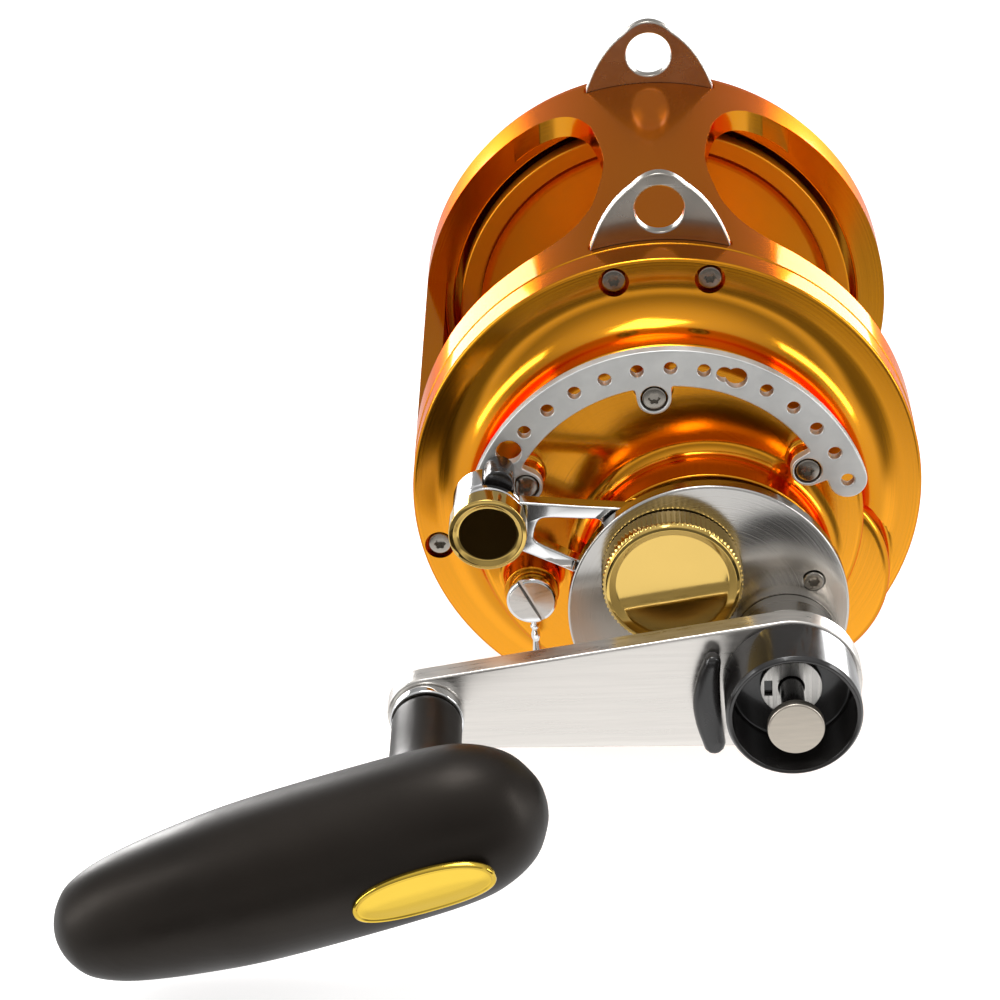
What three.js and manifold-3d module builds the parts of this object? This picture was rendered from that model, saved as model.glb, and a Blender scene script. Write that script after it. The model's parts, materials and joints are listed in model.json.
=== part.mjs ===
// Two-speed lever-drag trolling reel, in millimetres.
// +Z is up, the spool axis lies along Y, the crank is on the -Y side, line leaves towards +X.
// The origin is the centre of the flat underside of the reel foot.
import * as THREE from 'three';
import Module from 'manifold-3d';
import { mergeVertices } from 'three/addons/utils/BufferGeometryUtils.js';

// ---- driving dimensions ---------------------------------------------------------------------

const GAP = 0.3; // clearance left between pieces that touch
const RUN_GAP = 0.3; // clearance round a turning shaft

// frame
const RING_RADIUS = 63;
const RING_INNER_RADIUS = 55.2;
const FRAME_WALL = 5.2;
const RING_FACE_Y = 44.1; // inner faces of the two rings
const FAR_RING_BACK_Y = 57.3;
const NEAR_RING_FRONT_Y = -56.2;
const TOP_BAR_WAIST = 13; // half width of the top bar at its narrowest
const REAR_BAR_TOP_Z = 9.4;
const REAR_BAR_BOTTOM_Z = -17;
const REAR_BAR_FRONT_X = -20; // the gap below the rear bar reaches forwards to here
const BASE_TOP_Z = -36; // the windows stop here, above the base of the frame
const PLATE_SCREW_REACH = 9; // how deep the plate screws' holes go into the frame
const LEFT_SCREW_REACH = 8;

// foot
const FOOT_HEIGHT = 7; // from the seat to the lowest point of the rings
const FOOT_HALF_LENGTH = 48;
const FOOT_WIDTH = 22;
const FOOT_TIP_THICKNESS = 2.6;
const FOOT_BLOCK_HALF_LENGTH = 21;
const FOOT_SCREW_X = 13;
const FOOT_BLOCK_HEIGHT = 12;
const FOOT_BLOCK_SIDE = 8; // height of the block's upright sides
const FOOT_RAMP_LENGTH = 4;
const FOOT_RAMP_HEIGHT = 4.6;
const FOOT_TIP_HALF_WIDTH = 7;
const FOOT_CORNER = 3; // how far back the bevelled corners start

// harness lugs
const LUG_Y = 52.5;
const LUG_THICKNESS = 3;
const LUG_BASE_HALF_WIDTH = 17;
const LUG_HOLE_Z = 71;
const LUG_HOLE_RADIUS = 6;
const LUG_TOP_Z = 80.3;
const LUG_SEAT_Z = 60.3;
const LUG_ROOT_Z = 57.5;
const LUG_TONGUE_HALF_WIDTH = 9;
const LUG_FOOT_RISE = 1; // upright part of the lug's ends
const LUG_SHOULDER_DROP = 3.4; // from the top down to where the sides meet it
const LUG_SHOULDER_X = 6.6;
const LUG_FLANK_INSET = 3.5; // how far the sides' curves are drawn in

// right side plate: every depth below is measured forwards (-Y) from its flat face
const PLATE_THICKNESS = 9;
const PLATE_WALL = 3;
const PLATE_EDGE = 0.8; // bevel round the plate's rim
const BOSS_EDGE = 1.2;
const BULGE_DEPTH = 10;
const BULGE_WALL = 1.5;
const HOUSING_FOOT = 3.5;
const HOUSING_RIM = 1; // how far the housing's rim stands out from its wall
const HOUSING_RIM_LENGTH = 2;
const COVER_WALL_RUN_ON = 11; // degrees the wall under the cover runs past its end screws
const COVER_WALL_MARGIN = 3.6; // from the cover screws in to the wall's inside
const QUADRANT_STUD_RADIUS = 4;
const BOSS_RADIUS = 47.5;
const BOSS_FILLET = 10;
const BOSS_DEPTH = 16;
const HOUSING_RADIUS = 30.6;
const HOUSING_DEPTH = 30.2;
const PLATE_SCREW_CIRCLE = 58.5;
const PLATE_POCKET_GAP = 0.8; // the right plate's screws sit in wider pockets
const PLATE_SCREW_BITE = 5; // how much longer than the plate is thick its screws' shanks are
const PLATE_SCREW_ANGLES = [-102.8, -11.4, 11.4, 152, -156];

// gear train: tooth counts and the module fix the crank's distance from the spool axis
const GEAR_MODULE = 1;
const HIGH_GEAR_TEETH = 49;
const HIGH_PINION_TEETH = 18;
const LOW_GEAR_TEETH = 37;
const LOW_PINION_TEETH = 30;
const GEAR_WIDTH = 4;
const GEAR_BACKLASH = 0.45;
const GEAR_ROOM = 0.7; // between the large gear's teeth and the wall round them
const HIGH_GEAR_BACK_Y = -63.8;
const LOW_GEAR_BACK_Y = -58.9;
const CRANK_DIRECTION = 126.7; // degrees from +Z towards +X, seen from the crank side

// drag quadrant
const QUADRANT_FRONT_DEPTH = 23.4;
const QUADRANT_THICKNESS = 3;
const DETENT_REACH = 14.5; // from the housing's radius out to the detents
const DETENT_PITCH = 10.1;
const DETENT_FIRST = -49.1;
const DETENT_COUNT = 13;
const DETENT_STRIKE = 7; // this detent is the large strike hole
const DETENT_RADIUS = 1.6;
const STRIKE_RADIUS = 2.6;
const KEYHOLE_RADIUS = 1.9;
const KEYHOLE_PITCHES = 6.62; // where the small end of the strike hole lies, in detent pitches
const FREE_HOLE_RADIUS = 3.1;
const FREE_HOLE_ANGLE = -57.4;
const QUADRANT_HALF_WIDTH = 4.7;
const QUADRANT_EAR_REACH = 7.8; // from the detents in to the quadrant's screws
const QUADRANT_EAR_RADIUS = 4.1;
const QUADRANT_EAR_ROOT_RADIUS = 5.6;
const QUADRANT_SCREW_ANGLES = [-66.7, -4.5, 63.6];
const QUADRANT_START = -76;
const QUADRANT_SCREW_REACH = 5; // how deep the quadrant screws' holes go behind it
const QUADRANT_HEAD_LENGTH = 1.8;
const QUADRANT_HEAD_SUNK = 0.2;
const QUADRANT_SCREW_LENGTH = 4;

// drag lever
const LEVER_ANGLE = -73.5;
const LEVER_FRONT_DEPTH = 35;
const LEVER_THICKNESS = 4.2;
const LEVER_HUB_RADIUS = 15;
const LEVER_NARROW_AT = 39; // along the lever, where its sides become parallel
const LEVER_BEND_AT = 26;
const LEVER_HALF_WIDTHS = { root: 12.2, bend: 8.3, tip: 6 };
const LEVER_WINDOW = { start: 18.5, halfStart: 6.4, bend: 30, halfBend: 4, end: 33.6, halfEnd: 2.6 };
const BARREL_GROOVE_DEPTH = 34;
const BARREL_GROOVE = 0.4;
const BUTTON_SKIRT_DEPTH = 38;
const BUTTON_STEM_DEPTH = 35;
const PLUNGER_FRONT_DEPTH = 32.6;
const BARREL_RADIUS = 8.6;
const BARREL_BACK_DEPTH = 25;
const BARREL_FRONT_DEPTH = 40;
const BUTTON_FRONT_DEPTH = 43.5;
const BUTTON_RADIUS = 9.3;
const PLUNGER_OFFSET = { x: 2.74, z: 7.49 }; // from the middle of the barrel
const PLUNGER_RADIUS = 3.7;

// gear cover and preset knob
const COVER_CENTRE = { x: 8.5, z: -11.5 };
const COVER_OVERHANG = 3; // how far the cover reaches past the housing wall
const COVER_FRONT_DEPTH = 40;
const COVER_THICKNESS = 3.6;
const COVER_EDGE = 0.7;
const COVER_SEAT = 1; // thickness left under the cover's screw heads
const COVER_SCREW_LENGTH = 4;
const COVER_SCREW_REACH = 6; // how deep the cover screws' holes go into the wall
const COVER_SCREW_INSET = 4.4; // from the housing wall in to the cover screws
const COVER_SCREW_ANGLES = [73.6, 161, 248];
const KNOB_RADIUS = 16.8;
const KNOB_BACK_DEPTH = 40.6;
const KNOB_FRONT_DEPTH = 48.2;
const KNOB_RIBS = 36;
const KNOB_RIB_DEPTH = 0.5;
const KNOB_DISH = 1.6; // how far the middle of the knob's face lies below its rim
const KNOB_RIM = 2;

// clicker post at the rear of the plate
const POST_REACH = 11.8; // from the housing wall back to the post
const POST_Z = -12.8;
const POST_RADIUS = 6.1;
const POST_DEPTH = 25.4;
const CLICKER_SCREW_FRONT_DEPTH = 31;
const CLICKER_SCREW_EDGE = 0.9;
const CLICKER_SLOT = { halfLength: 7, halfWidth: 0.75, depth: 1.2, angle: 63 };
const CLICKER_EYE_RADIUS = 5.2;
const CLICKER_NECK = { x: 0.6, z: -11.5, radius: 1.8 };
const CLICKER_TAIL = { x: 0.9, z: -20, radius: 3, neck: 1.7 };

// crank
const COLLAR_RADIUS = 13.2;
const ARM_BACK_DEPTH = 53.5;
const ARM_FRONT_DEPTH = 59.4;
const CRANK_LENGTH = 86.1;
const CRANK_DROOP = 4.3; // degrees the crank hangs below level at rest
const CRANK_SHAFT_RADIUS = 5;
const CRANK_SHAFT_TAIL = 0.4; // how far the shaft stands out behind the low gear
const COLLAR_STEP = 4; // length of the collar's narrower foot
const ARM_HUB_RADIUS = 17;
const ARM_HUB_DROP = 1; // the hub's outline is centred this far below the crank's axis
const ARM_TIP_RADIUS = 9.6;
const ARM_SKIN = 0.7; // thickness of the arm in front of the shaft's end
const CUP_RADIUS = 15.9;
const CUP_WALL = 1.5;
const CUP_FRONT_DEPTH = 76;
const SHIFT_BUTTON_RADIUS = 6.6;
const SHIFT_BUTTON_FRONT_DEPTH = 81.2;
const SHIFT_BUTTON_THICKNESS = 2.4;
const SHIFT_STEM_RADIUS = 2.8;
const SHIFT_STEM_HEAD_RADIUS = 4.2;
const SHIFT_WASHER_RADIUS = 7.3;
const SHIFT_WASHER_SLOT = { offset: -5.6, halfWidth: 0.9, halfLength: 2 };
const SHIFT_TRAVEL = 4.5; // how far the low speed button can be pushed in

// grip
const GRIP_AXIS_DEPTH = 110;
const GRIP_DROOP = 16.6; // degrees the grip slopes down towards the rear
const GRIP_RADIUS = 18.6;
const GRIP_NECK_RADIUS = 8.4;
const GRIP_PIN_RADIUS = 4;

// spool and drag
const SPOOL_FLANGE_RADIUS = 53.4;
const SPOOL_FLANGE_FACE_Y = 40.5;
const SPOOL_FLANGE_BACK_Y = 46;
const SPOOL_ARBOR_RADIUS = 21;
const SPINDLE_RADIUS = 4;
const DRAG_PLATE_RADIUS = 36;
const DRAG_PLATE_BACK_Y = -51;
const DRAG_WASHER_FACE_Y = -50.2;

// ---- derived --------------------------------------------------------------------------------

const PLATE_BACK_Y = NEAR_RING_FRONT_Y - GAP;
const FACE_Y = PLATE_BACK_Y - PLATE_THICKNESS; // the flat face that depths are measured from
const AXIS_Z = RING_RADIUS + FOOT_HEIGHT; // height of the spool axis above the seat
const depth = (d) => FACE_Y - d;
const radians = (degrees) => (degrees * Math.PI) / 180;
const polar = (radius, angle) => ({
  x: radius * Math.sin(radians(angle)),
  z: radius * Math.cos(radians(angle)),
});
const GEAR_DISTANCE = (GEAR_MODULE * (HIGH_GEAR_TEETH + HIGH_PINION_TEETH)) / 2;
const CRANK = polar(GEAR_DISTANCE, CRANK_DIRECTION);
const GEAR_TIP_RADIUS = (GEAR_MODULE * (HIGH_GEAR_TEETH + 2)) / 2;
const BULGE_CAVITY_RADIUS = GEAR_TIP_RADIUS + GEAR_ROOM;
const BULGE_RADIUS = BULGE_CAVITY_RADIUS + BULGE_WALL;
const QUADRANT_BACK_DEPTH = QUADRANT_FRONT_DEPTH - QUADRANT_THICKNESS;
const LEVER_BACK_DEPTH = LEVER_FRONT_DEPTH - LEVER_THICKNESS;
const COVER_BACK_DEPTH = COVER_FRONT_DEPTH - COVER_THICKNESS;
const DETENT_CIRCLE = HOUSING_RADIUS + DETENT_REACH;
const QUADRANT_SCREW_CIRCLE = DETENT_CIRCLE - QUADRANT_EAR_REACH;
const COVER_RADIUS = HOUSING_RADIUS + COVER_OVERHANG;
const COVER_SCREW_CIRCLE = HOUSING_RADIUS - COVER_SCREW_INSET;
const POST = { x: COVER_CENTRE.x - HOUSING_RADIUS - POST_REACH, z: POST_Z };
const BARREL = polar(DETENT_CIRCLE, LEVER_ANGLE);
const PLUNGER = { x: BARREL.x + PLUNGER_OFFSET.x, z: BARREL.z + PLUNGER_OFFSET.z };
const GRIP = {
  x: CRANK.x - CRANK_LENGTH * Math.cos(radians(CRANK_DROOP)),
  z: CRANK.z - CRANK_LENGTH * Math.sin(radians(CRANK_DROOP)),
};

const OVERSHOOT = 5; // how far a cutter runs past the frame's outside
const BORE_RUN = 45; // how far a bore's cutter runs forwards, out of the piece it is cut in

// ---- solid modelling helpers ----------------------------------------------------------------

const wasm = await Module();
wasm.setup();

// a closed manifold from a three geometry, turned the right way out
function solid(geometry) {
  const bare = geometry.clone();
  bare.deleteAttribute('normal');
  bare.deleteAttribute('uv');
  const merged = mergeVertices(bare, 1e-4);
  const positions = merged.attributes.position.array;
  const index = merged.index.array;
  const kept = [];
  let volume = 0;
  for (let i = 0; i < index.length; i += 3) {
    const [a, b, c] = [index[i], index[i + 1], index[i + 2]];
    if (a === b || b === c || a === c) continue;
    kept.push(a, b, c);
    const [pa, pb, pc] = [a, b, c].map((v) => new THREE.Vector3().fromArray(positions, v * 3));
    volume += pa.dot(pb.cross(pc));
  }
  if (volume < 0) {
    for (let i = 0; i < kept.length; i += 3) {
      [kept[i + 1], kept[i + 2]] = [kept[i + 2], kept[i + 1]];
    }
  }
  return new wasm.Manifold(
    new wasm.Mesh({
      numProp: 3,
      vertProperties: Float32Array.from(positions),
      triVerts: Uint32Array.from(kept),
    }),
  );
}

function moved(body, x, y, z) {
  return body.translate([x, y, z]);
}

// a solid turned about a line parallel to Y through (x, z); profile points are [radius, y]
function turned(profile, segments = 48, x = 0, z = 0) {
  const points = profile.map(([r, y]) => new THREE.Vector2(r, y));
  const body = solid(new THREE.LatheGeometry(points, segments));
  return moved(body, x, 0, z);
}

function drum(radius, backY, frontY, x = 0, z = 0, segments = 32) {
  return turned([[0, frontY], [radius, frontY], [radius, backY], [0, backY]], segments, x, z);
}

function tube(outer, inner, backY, frontY, x = 0, z = 0, segments = 32) {
  const profile = [[inner, frontY], [outer, frontY], [outer, backY], [inner, backY], [inner, frontY]];
  return turned(profile, segments, x, z);
}

// the cutter of a hole that opens forwards, from its blind end
function boreForwards(radius, endY, x, z, segments) {
  return drum(radius, endY, endY - BORE_RUN, x, z, segments);
}

// a flat piece whose outline is drawn in X and Z, reaching from backY forwards to frontY
function slab(shape, backY, frontY, curveSegments = 12) {
  const settings = { depth: backY - frontY, bevelEnabled: false, curveSegments };
  const geometry = new THREE.ExtrudeGeometry(shape, settings);
  geometry.rotateX(Math.PI / 2);
  geometry.translate(0, backY, 0);
  return solid(geometry);
}

// a piece whose outline is drawn in X and Y, reaching from lowZ up to highZ
function column(shape, lowZ, highZ, curveSegments = 12) {
  const settings = { depth: highZ - lowZ, bevelEnabled: false, curveSegments };
  const geometry = new THREE.ExtrudeGeometry(shape, settings);
  geometry.translate(0, 0, lowZ);
  return solid(geometry);
}

function polygon(points) {
  return new THREE.Shape(points.map(([a, b]) => new THREE.Vector2(a, b)));
}

function rectangle(x0, x1, z0, z1) {
  return polygon([[x0, z0], [x1, z0], [x1, z1], [x0, z1]]);
}

// the rounded outline round two circles of different radius
function stadium(a, radiusA, b, radiusB, segments = 12) {
  const run = Math.atan2(b.z - a.z, b.x - a.x);
  const distance = Math.hypot(b.x - a.x, b.z - a.z);
  const spread = Math.acos((radiusA - radiusB) / distance);
  const points = [];
  for (let i = 0; i <= segments; i += 1) {
    const angle = run + spread + ((2 * Math.PI - 2 * spread) * i) / segments;
    points.push([a.x + radiusA * Math.cos(angle), a.z + radiusA * Math.sin(angle)]);
  }
  for (let i = 0; i <= segments; i += 1) {
    const angle = run - spread + (2 * spread * i) / segments;
    points.push([b.x + radiusB * Math.cos(angle), b.z + radiusB * Math.sin(angle)]);
  }
  return polygon(points);
}

const group = new THREE.Group();
group.name = 'trolling_reel';

function addPart(name, body, material) {
  const { vertProperties, triVerts } = moved(body, 0, 0, AXIS_Z).getMesh();
  const geometry = new THREE.BufferGeometry();
  geometry.setAttribute('position', new THREE.BufferAttribute(vertProperties, 3));
  geometry.setIndex(new THREE.BufferAttribute(triVerts, 1));
  geometry.computeVertexNormals();
  const mesh = new THREE.Mesh(geometry, material());
  mesh.name = name;
  group.add(mesh);
}

// ---- materials ------------------------------------------------------------------------------

function finish(color, roughness, metalness) {
  return () => new THREE.MeshStandardMaterial({ color, roughness, metalness });
}

const goldAnodise = finish(0xf2a51e, 0.28, 0.9);
const goldPlate = finish(0xd9ae4e, 0.12, 1);
const stainless = finish(0xb9b7b2, 0.3, 1);
const chrome = finish(0xe2e4e6, 0.08, 1);
const satinSteel = finish(0xcfccc6, 0.4, 1);
const blackGloss = finish(0x141414, 0.25, 0);
const gripRubber = finish(0x1d1817, 0.7, 0);
const bronze = finish(0xb88a4a, 0.4, 0.9);
const carbon = finish(0x26272a, 0.6, 0.1);

// ---- shared small parts ---------------------------------------------------------------------

const HEAD_RADIUS = 2.9;
const HEAD_LENGTH = 3;
const SHANK_RADIUS = 1.5;
const SOCKET_RADIUS = 1.45;
const COVER_HEAD_RADIUS = 2.45;
const POCKET_GAP = 0.4; // round a screw's head, in the quadrant, the cover and the left plate
const SCREW_SEGMENTS = 12;

// a socket head screw lying along Y with its head towards the crank side (or away, for facing = 1)
function socketScrew(x, z, frontY, shankLength, facing = -1, head = {}) {
  const { radius: headRadius = HEAD_RADIUS, length: headLength = HEAD_LENGTH } = head;
  const profile = [
    [0, 0],
    [headRadius, 0],
    [headRadius, headLength],
    [SHANK_RADIUS, headLength],
    [SHANK_RADIUS, headLength + shankLength],
    [0, headLength + shankLength],
  ];
  const body = turned(profile, SCREW_SEGMENTS).subtract(drum(SOCKET_RADIUS, headLength / 2, -1, 0, 0, 6));
  const turnedRound = facing < 0 ? body : body.rotate([180, 0, 0]);
  return moved(turnedRound, x, frontY, z);
}

// the counterbored hole that the screw sits in
function screwHole(x, z, frontY, shankLength, facing, pocketGap) {
  const reach = shankLength + 1;
  const profile = [
    [0, -OVERSHOOT],
    [HEAD_RADIUS + pocketGap, -OVERSHOOT],
    [HEAD_RADIUS + pocketGap, HEAD_LENGTH + GAP],
    [SHANK_RADIUS + GAP, HEAD_LENGTH + GAP],
    [SHANK_RADIUS + GAP, HEAD_LENGTH + reach],
    [0, HEAD_LENGTH + reach],
  ];
  const body = turned(profile, SCREW_SEGMENTS);
  const turnedRound = facing < 0 ? body : body.rotate([180, 0, 0]);
  return moved(turnedRound, x, frontY, z);
}

// ---- frame ----------------------------------------------------------------------------------

// half width of the top bar at a distance along the reel from its waist
const TOP_BAR_OUTLINE = [
  [0, TOP_BAR_WAIST],
  [22, TOP_BAR_WAIST + 2.4],
  [31, TOP_BAR_WAIST + 4.9],
  [37, TOP_BAR_WAIST + 8],
  [41, TOP_BAR_WAIST + 12],
  [43.2, TOP_BAR_WAIST + 17],
  [RING_FACE_Y, TOP_BAR_WAIST + 24],
];

function topWindow(side) {
  const points = [];
  for (const [y, x] of [...TOP_BAR_OUTLINE].reverse()) points.push([side * x, -y]);
  for (const [y, x] of TOP_BAR_OUTLINE.slice(1)) points.push([side * x, y]);
  const outer = RING_RADIUS + OVERSHOOT;
  points.push([side * outer, RING_FACE_Y]);
  points.push([side * outer, -RING_FACE_Y]);
  return polygon(points);
}

function frame() {
  const inner = RING_RADIUS - FRAME_WALL;
  const profile = [
    [RING_INNER_RADIUS, NEAR_RING_FRONT_Y],
    [RING_RADIUS, NEAR_RING_FRONT_Y],
    [RING_RADIUS, FAR_RING_BACK_Y],
    [RING_INNER_RADIUS, FAR_RING_BACK_Y],
    [RING_INNER_RADIUS, RING_FACE_Y],
    [inner, RING_FACE_Y],
    [inner, -RING_FACE_Y],
    [RING_INNER_RADIUS, -RING_FACE_Y],
    [RING_INNER_RADIUS, NEAR_RING_FRONT_Y],
  ];
  let body = turned(profile, 56);
  const high = RING_RADIUS + OVERSHOOT;
  body = body.subtract(column(topWindow(-1), REAR_BAR_TOP_Z, high));
  body = body.subtract(column(topWindow(1), BASE_TOP_Z, high));
  const rearGap = rectangle(-high, REAR_BAR_FRONT_X, -RING_FACE_Y, RING_FACE_Y);
  body = body.subtract(column(rearGap, BASE_TOP_Z, REAR_BAR_BOTTOM_Z));
  for (const side of [-1, 1]) {
    const half = LUG_THICKNESS / 2 + GAP;
    const seatHalf = LUG_BASE_HALF_WIDTH + 2 * GAP;
    const tongueHalf = LUG_TONGUE_HALF_WIDTH + GAP;
    const seat = rectangle(-seatHalf, seatHalf, LUG_SEAT_Z - GAP, high);
    const tongue = rectangle(-tongueHalf, tongueHalf, LUG_ROOT_Z - GAP, high);
    body = body.subtract(slab(seat, side * LUG_Y + half, side * LUG_Y - half));
    body = body.subtract(slab(tongue, side * LUG_Y + half, side * LUG_Y - half));
  }
  for (const angle of PLATE_SCREW_ANGLES) {
    const at = polar(PLATE_SCREW_CIRCLE, angle);
    const end = NEAR_RING_FRONT_Y + PLATE_SCREW_REACH;
    body = body.subtract(drum(SHANK_RADIUS + GAP, end, NEAR_RING_FRONT_Y - 1, at.x, at.z, 8));
  }
  for (const angle of LEFT_SCREW_ANGLES) {
    const at = polar(LEFT_SCREW_CIRCLE, angle);
    const end = FAR_RING_BACK_Y - LEFT_SCREW_REACH;
    body = body.subtract(drum(SHANK_RADIUS + GAP, FAR_RING_BACK_Y + 1, end, at.x, at.z, 8));
  }
  for (const side of [-1, 1]) {
    body = body.subtract(footScrewBlank(side * FOOT_SCREW_X, GAP));
  }
  return body;
}

// ---- foot -----------------------------------------------------------------------------------

const FOOT_SCREW_HEAD_RADIUS = 4;
const FOOT_SCREW_RADIUS = 2.2;
const FOOT_SCREW_LENGTH = 10.5;
const FOOT_SCREW_SUNK = 0.2;
const FOOT_SOCKET_RADIUS = 1.7;
const FOOT_SOCKET_DEPTH = 1.4;

// a countersunk screw pointing up, its head flush with the seat; grow widens it into its hole
function footScrewBlank(x, grow) {
  const profile = [
    [0, -grow],
    [FOOT_SCREW_HEAD_RADIUS + grow, -grow],
    [FOOT_SCREW_RADIUS + grow, FOOT_SCREW_HEAD_RADIUS - FOOT_SCREW_RADIUS],
    [FOOT_SCREW_RADIUS + grow, FOOT_SCREW_LENGTH + grow],
    [0, FOOT_SCREW_LENGTH + grow],
  ];
  return moved(turned(profile, 14).rotate([90, 0, 0]), x, 0, -AXIS_Z + FOOT_SCREW_SUNK);
}

function footScrew(x) {
  const upright = drum(FOOT_SOCKET_RADIUS, FOOT_SOCKET_DEPTH, -1, 0, 0, 6).rotate([90, 0, 0]);
  const socket = moved(upright, x, 0, -AXIS_Z + FOOT_SCREW_SUNK);
  return footScrewBlank(x, 0).subtract(socket);
}

function reelFoot() {
  const outline = polygon([
    [-FOOT_HALF_LENGTH, -AXIS_Z],
    [FOOT_HALF_LENGTH, -AXIS_Z],
    [FOOT_HALF_LENGTH, -AXIS_Z + FOOT_TIP_THICKNESS],
    [FOOT_BLOCK_HALF_LENGTH + FOOT_RAMP_LENGTH, -AXIS_Z + FOOT_RAMP_HEIGHT],
    [FOOT_BLOCK_HALF_LENGTH, -AXIS_Z + FOOT_BLOCK_SIDE],
    [FOOT_BLOCK_HALF_LENGTH, -AXIS_Z + FOOT_BLOCK_HEIGHT],
    [-FOOT_BLOCK_HALF_LENGTH, -AXIS_Z + FOOT_BLOCK_HEIGHT],
    [-FOOT_BLOCK_HALF_LENGTH, -AXIS_Z + FOOT_BLOCK_SIDE],
    [-FOOT_BLOCK_HALF_LENGTH - FOOT_RAMP_LENGTH, -AXIS_Z + FOOT_RAMP_HEIGHT],
    [-FOOT_HALF_LENGTH, -AXIS_Z + FOOT_TIP_THICKNESS],
  ]);
  const half = FOOT_WIDTH / 2;
  let body = slab(outline, half, -half);
  const tips = polygon([
    [-FOOT_HALF_LENGTH - 1, FOOT_TIP_HALF_WIDTH],
    [-FOOT_HALF_LENGTH + FOOT_CORNER, half],
    [FOOT_HALF_LENGTH - FOOT_CORNER, half],
    [FOOT_HALF_LENGTH + 1, FOOT_TIP_HALF_WIDTH],
    [FOOT_HALF_LENGTH + 1, -FOOT_TIP_HALF_WIDTH],
    [FOOT_HALF_LENGTH - FOOT_CORNER, -half],
    [-FOOT_HALF_LENGTH + FOOT_CORNER, -half],
    [-FOOT_HALF_LENGTH - 1, -FOOT_TIP_HALF_WIDTH],
  ]);
  body = body.intersect(column(tips, -AXIS_Z - 1, -AXIS_Z + FOOT_BLOCK_HEIGHT + 1));
  body = body.subtract(drum(RING_RADIUS + GAP, half + 1, -half - 1, 0, 0, 56));
  for (const side of [-1, 1]) {
    body = body.subtract(footScrewBlank(side * FOOT_SCREW_X, GAP));
  }
  return body;
}

// ---- harness lugs ---------------------------------------------------------------------------

function harnessLug(side) {
  const shoulder = LUG_TOP_Z - LUG_SHOULDER_DROP;
  const foot = LUG_SEAT_Z + LUG_FOOT_RISE;
  const flank = LUG_BASE_HALF_WIDTH - LUG_FLANK_INSET;
  const crown = LUG_SHOULDER_X / 2;
  const shape = new THREE.Shape();
  shape.moveTo(-LUG_BASE_HALF_WIDTH, LUG_SEAT_Z);
  shape.lineTo(-LUG_TONGUE_HALF_WIDTH, LUG_SEAT_Z);
  shape.lineTo(-LUG_TONGUE_HALF_WIDTH, LUG_ROOT_Z);
  shape.lineTo(LUG_TONGUE_HALF_WIDTH, LUG_ROOT_Z);
  shape.lineTo(LUG_TONGUE_HALF_WIDTH, LUG_SEAT_Z);
  shape.lineTo(LUG_BASE_HALF_WIDTH, LUG_SEAT_Z);
  shape.lineTo(LUG_BASE_HALF_WIDTH, foot);
  shape.quadraticCurveTo(flank, LUG_HOLE_Z + 1, LUG_SHOULDER_X, shoulder);
  shape.quadraticCurveTo(crown, LUG_TOP_Z, 0, LUG_TOP_Z);
  shape.quadraticCurveTo(-crown, LUG_TOP_Z, -LUG_SHOULDER_X, shoulder);
  shape.quadraticCurveTo(-flank, LUG_HOLE_Z + 1, -LUG_BASE_HALF_WIDTH, foot);
  const half = LUG_THICKNESS / 2;
  const plate = slab(shape, side * LUG_Y + half, side * LUG_Y - half, 6);
  const [back, front] = [side * LUG_Y + half + 1, side * LUG_Y - half - 1];
  return plate.subtract(drum(LUG_HOLE_RADIUS, back, front, 0, LUG_HOLE_Z, 22));
}

// ---- right side plate -----------------------------------------------------------------------

const FILLET_STEPS = 3;

function filletProfile() {
  const points = [];
  for (let i = 0; i <= FILLET_STEPS; i += 1) {
    const angle = (Math.PI / 2) * (i / FILLET_STEPS);
    const r = BOSS_RADIUS + BOSS_FILLET * (1 - Math.sin(angle));
    const y = FACE_Y - BOSS_FILLET * (1 - Math.cos(angle));
    points.push([r, y]);
  }
  return points;
}

function plateShell() {
  const outer = [
    [0, PLATE_BACK_Y],
    [RING_RADIUS, PLATE_BACK_Y],
    [RING_RADIUS, FACE_Y + PLATE_EDGE],
    [RING_RADIUS - PLATE_EDGE, FACE_Y],
    ...filletProfile(),
    [BOSS_RADIUS, depth(BOSS_DEPTH - BOSS_EDGE)],
    [BOSS_RADIUS - BOSS_EDGE, depth(BOSS_DEPTH)],
    [0, depth(BOSS_DEPTH)],
  ];
  return turned(outer, 48);
}

function coverWall() {
  const shape = new THREE.Shape();
  const from = radians(90 - COVER_SCREW_ANGLES[0] + COVER_WALL_RUN_ON);
  const to = radians(90 - COVER_SCREW_ANGLES[2] - COVER_WALL_RUN_ON);
  shape.absarc(0, 0, HOUSING_RADIUS, from, to, true);
  shape.absarc(0, 0, COVER_SCREW_CIRCLE - COVER_WALL_MARGIN, to, from, false);
  const wall = slab(shape, depth(HOUSING_DEPTH - 1), depth(COVER_BACK_DEPTH - GAP), 12);
  return moved(wall, COVER_CENTRE.x, 0, COVER_CENTRE.z);
}

function housingDrum() {
  const profile = [
    [0, depth(BOSS_DEPTH - 1)],
    [HOUSING_RADIUS + HOUSING_FOOT, depth(BOSS_DEPTH - 1)],
    [HOUSING_RADIUS + HOUSING_FOOT, depth(BOSS_DEPTH)],
    [HOUSING_RADIUS + 0.4 * HOUSING_FOOT, depth(BOSS_DEPTH + 0.45 * HOUSING_FOOT)],
    [HOUSING_RADIUS, depth(BOSS_DEPTH + HOUSING_FOOT)],
    [HOUSING_RADIUS, depth(HOUSING_DEPTH - HOUSING_RIM_LENGTH)],
    [HOUSING_RADIUS + HOUSING_RIM, depth(HOUSING_DEPTH)],
    [0, depth(HOUSING_DEPTH)],
  ];
  return turned(profile, 32, COVER_CENTRE.x, COVER_CENTRE.z);
}

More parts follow.
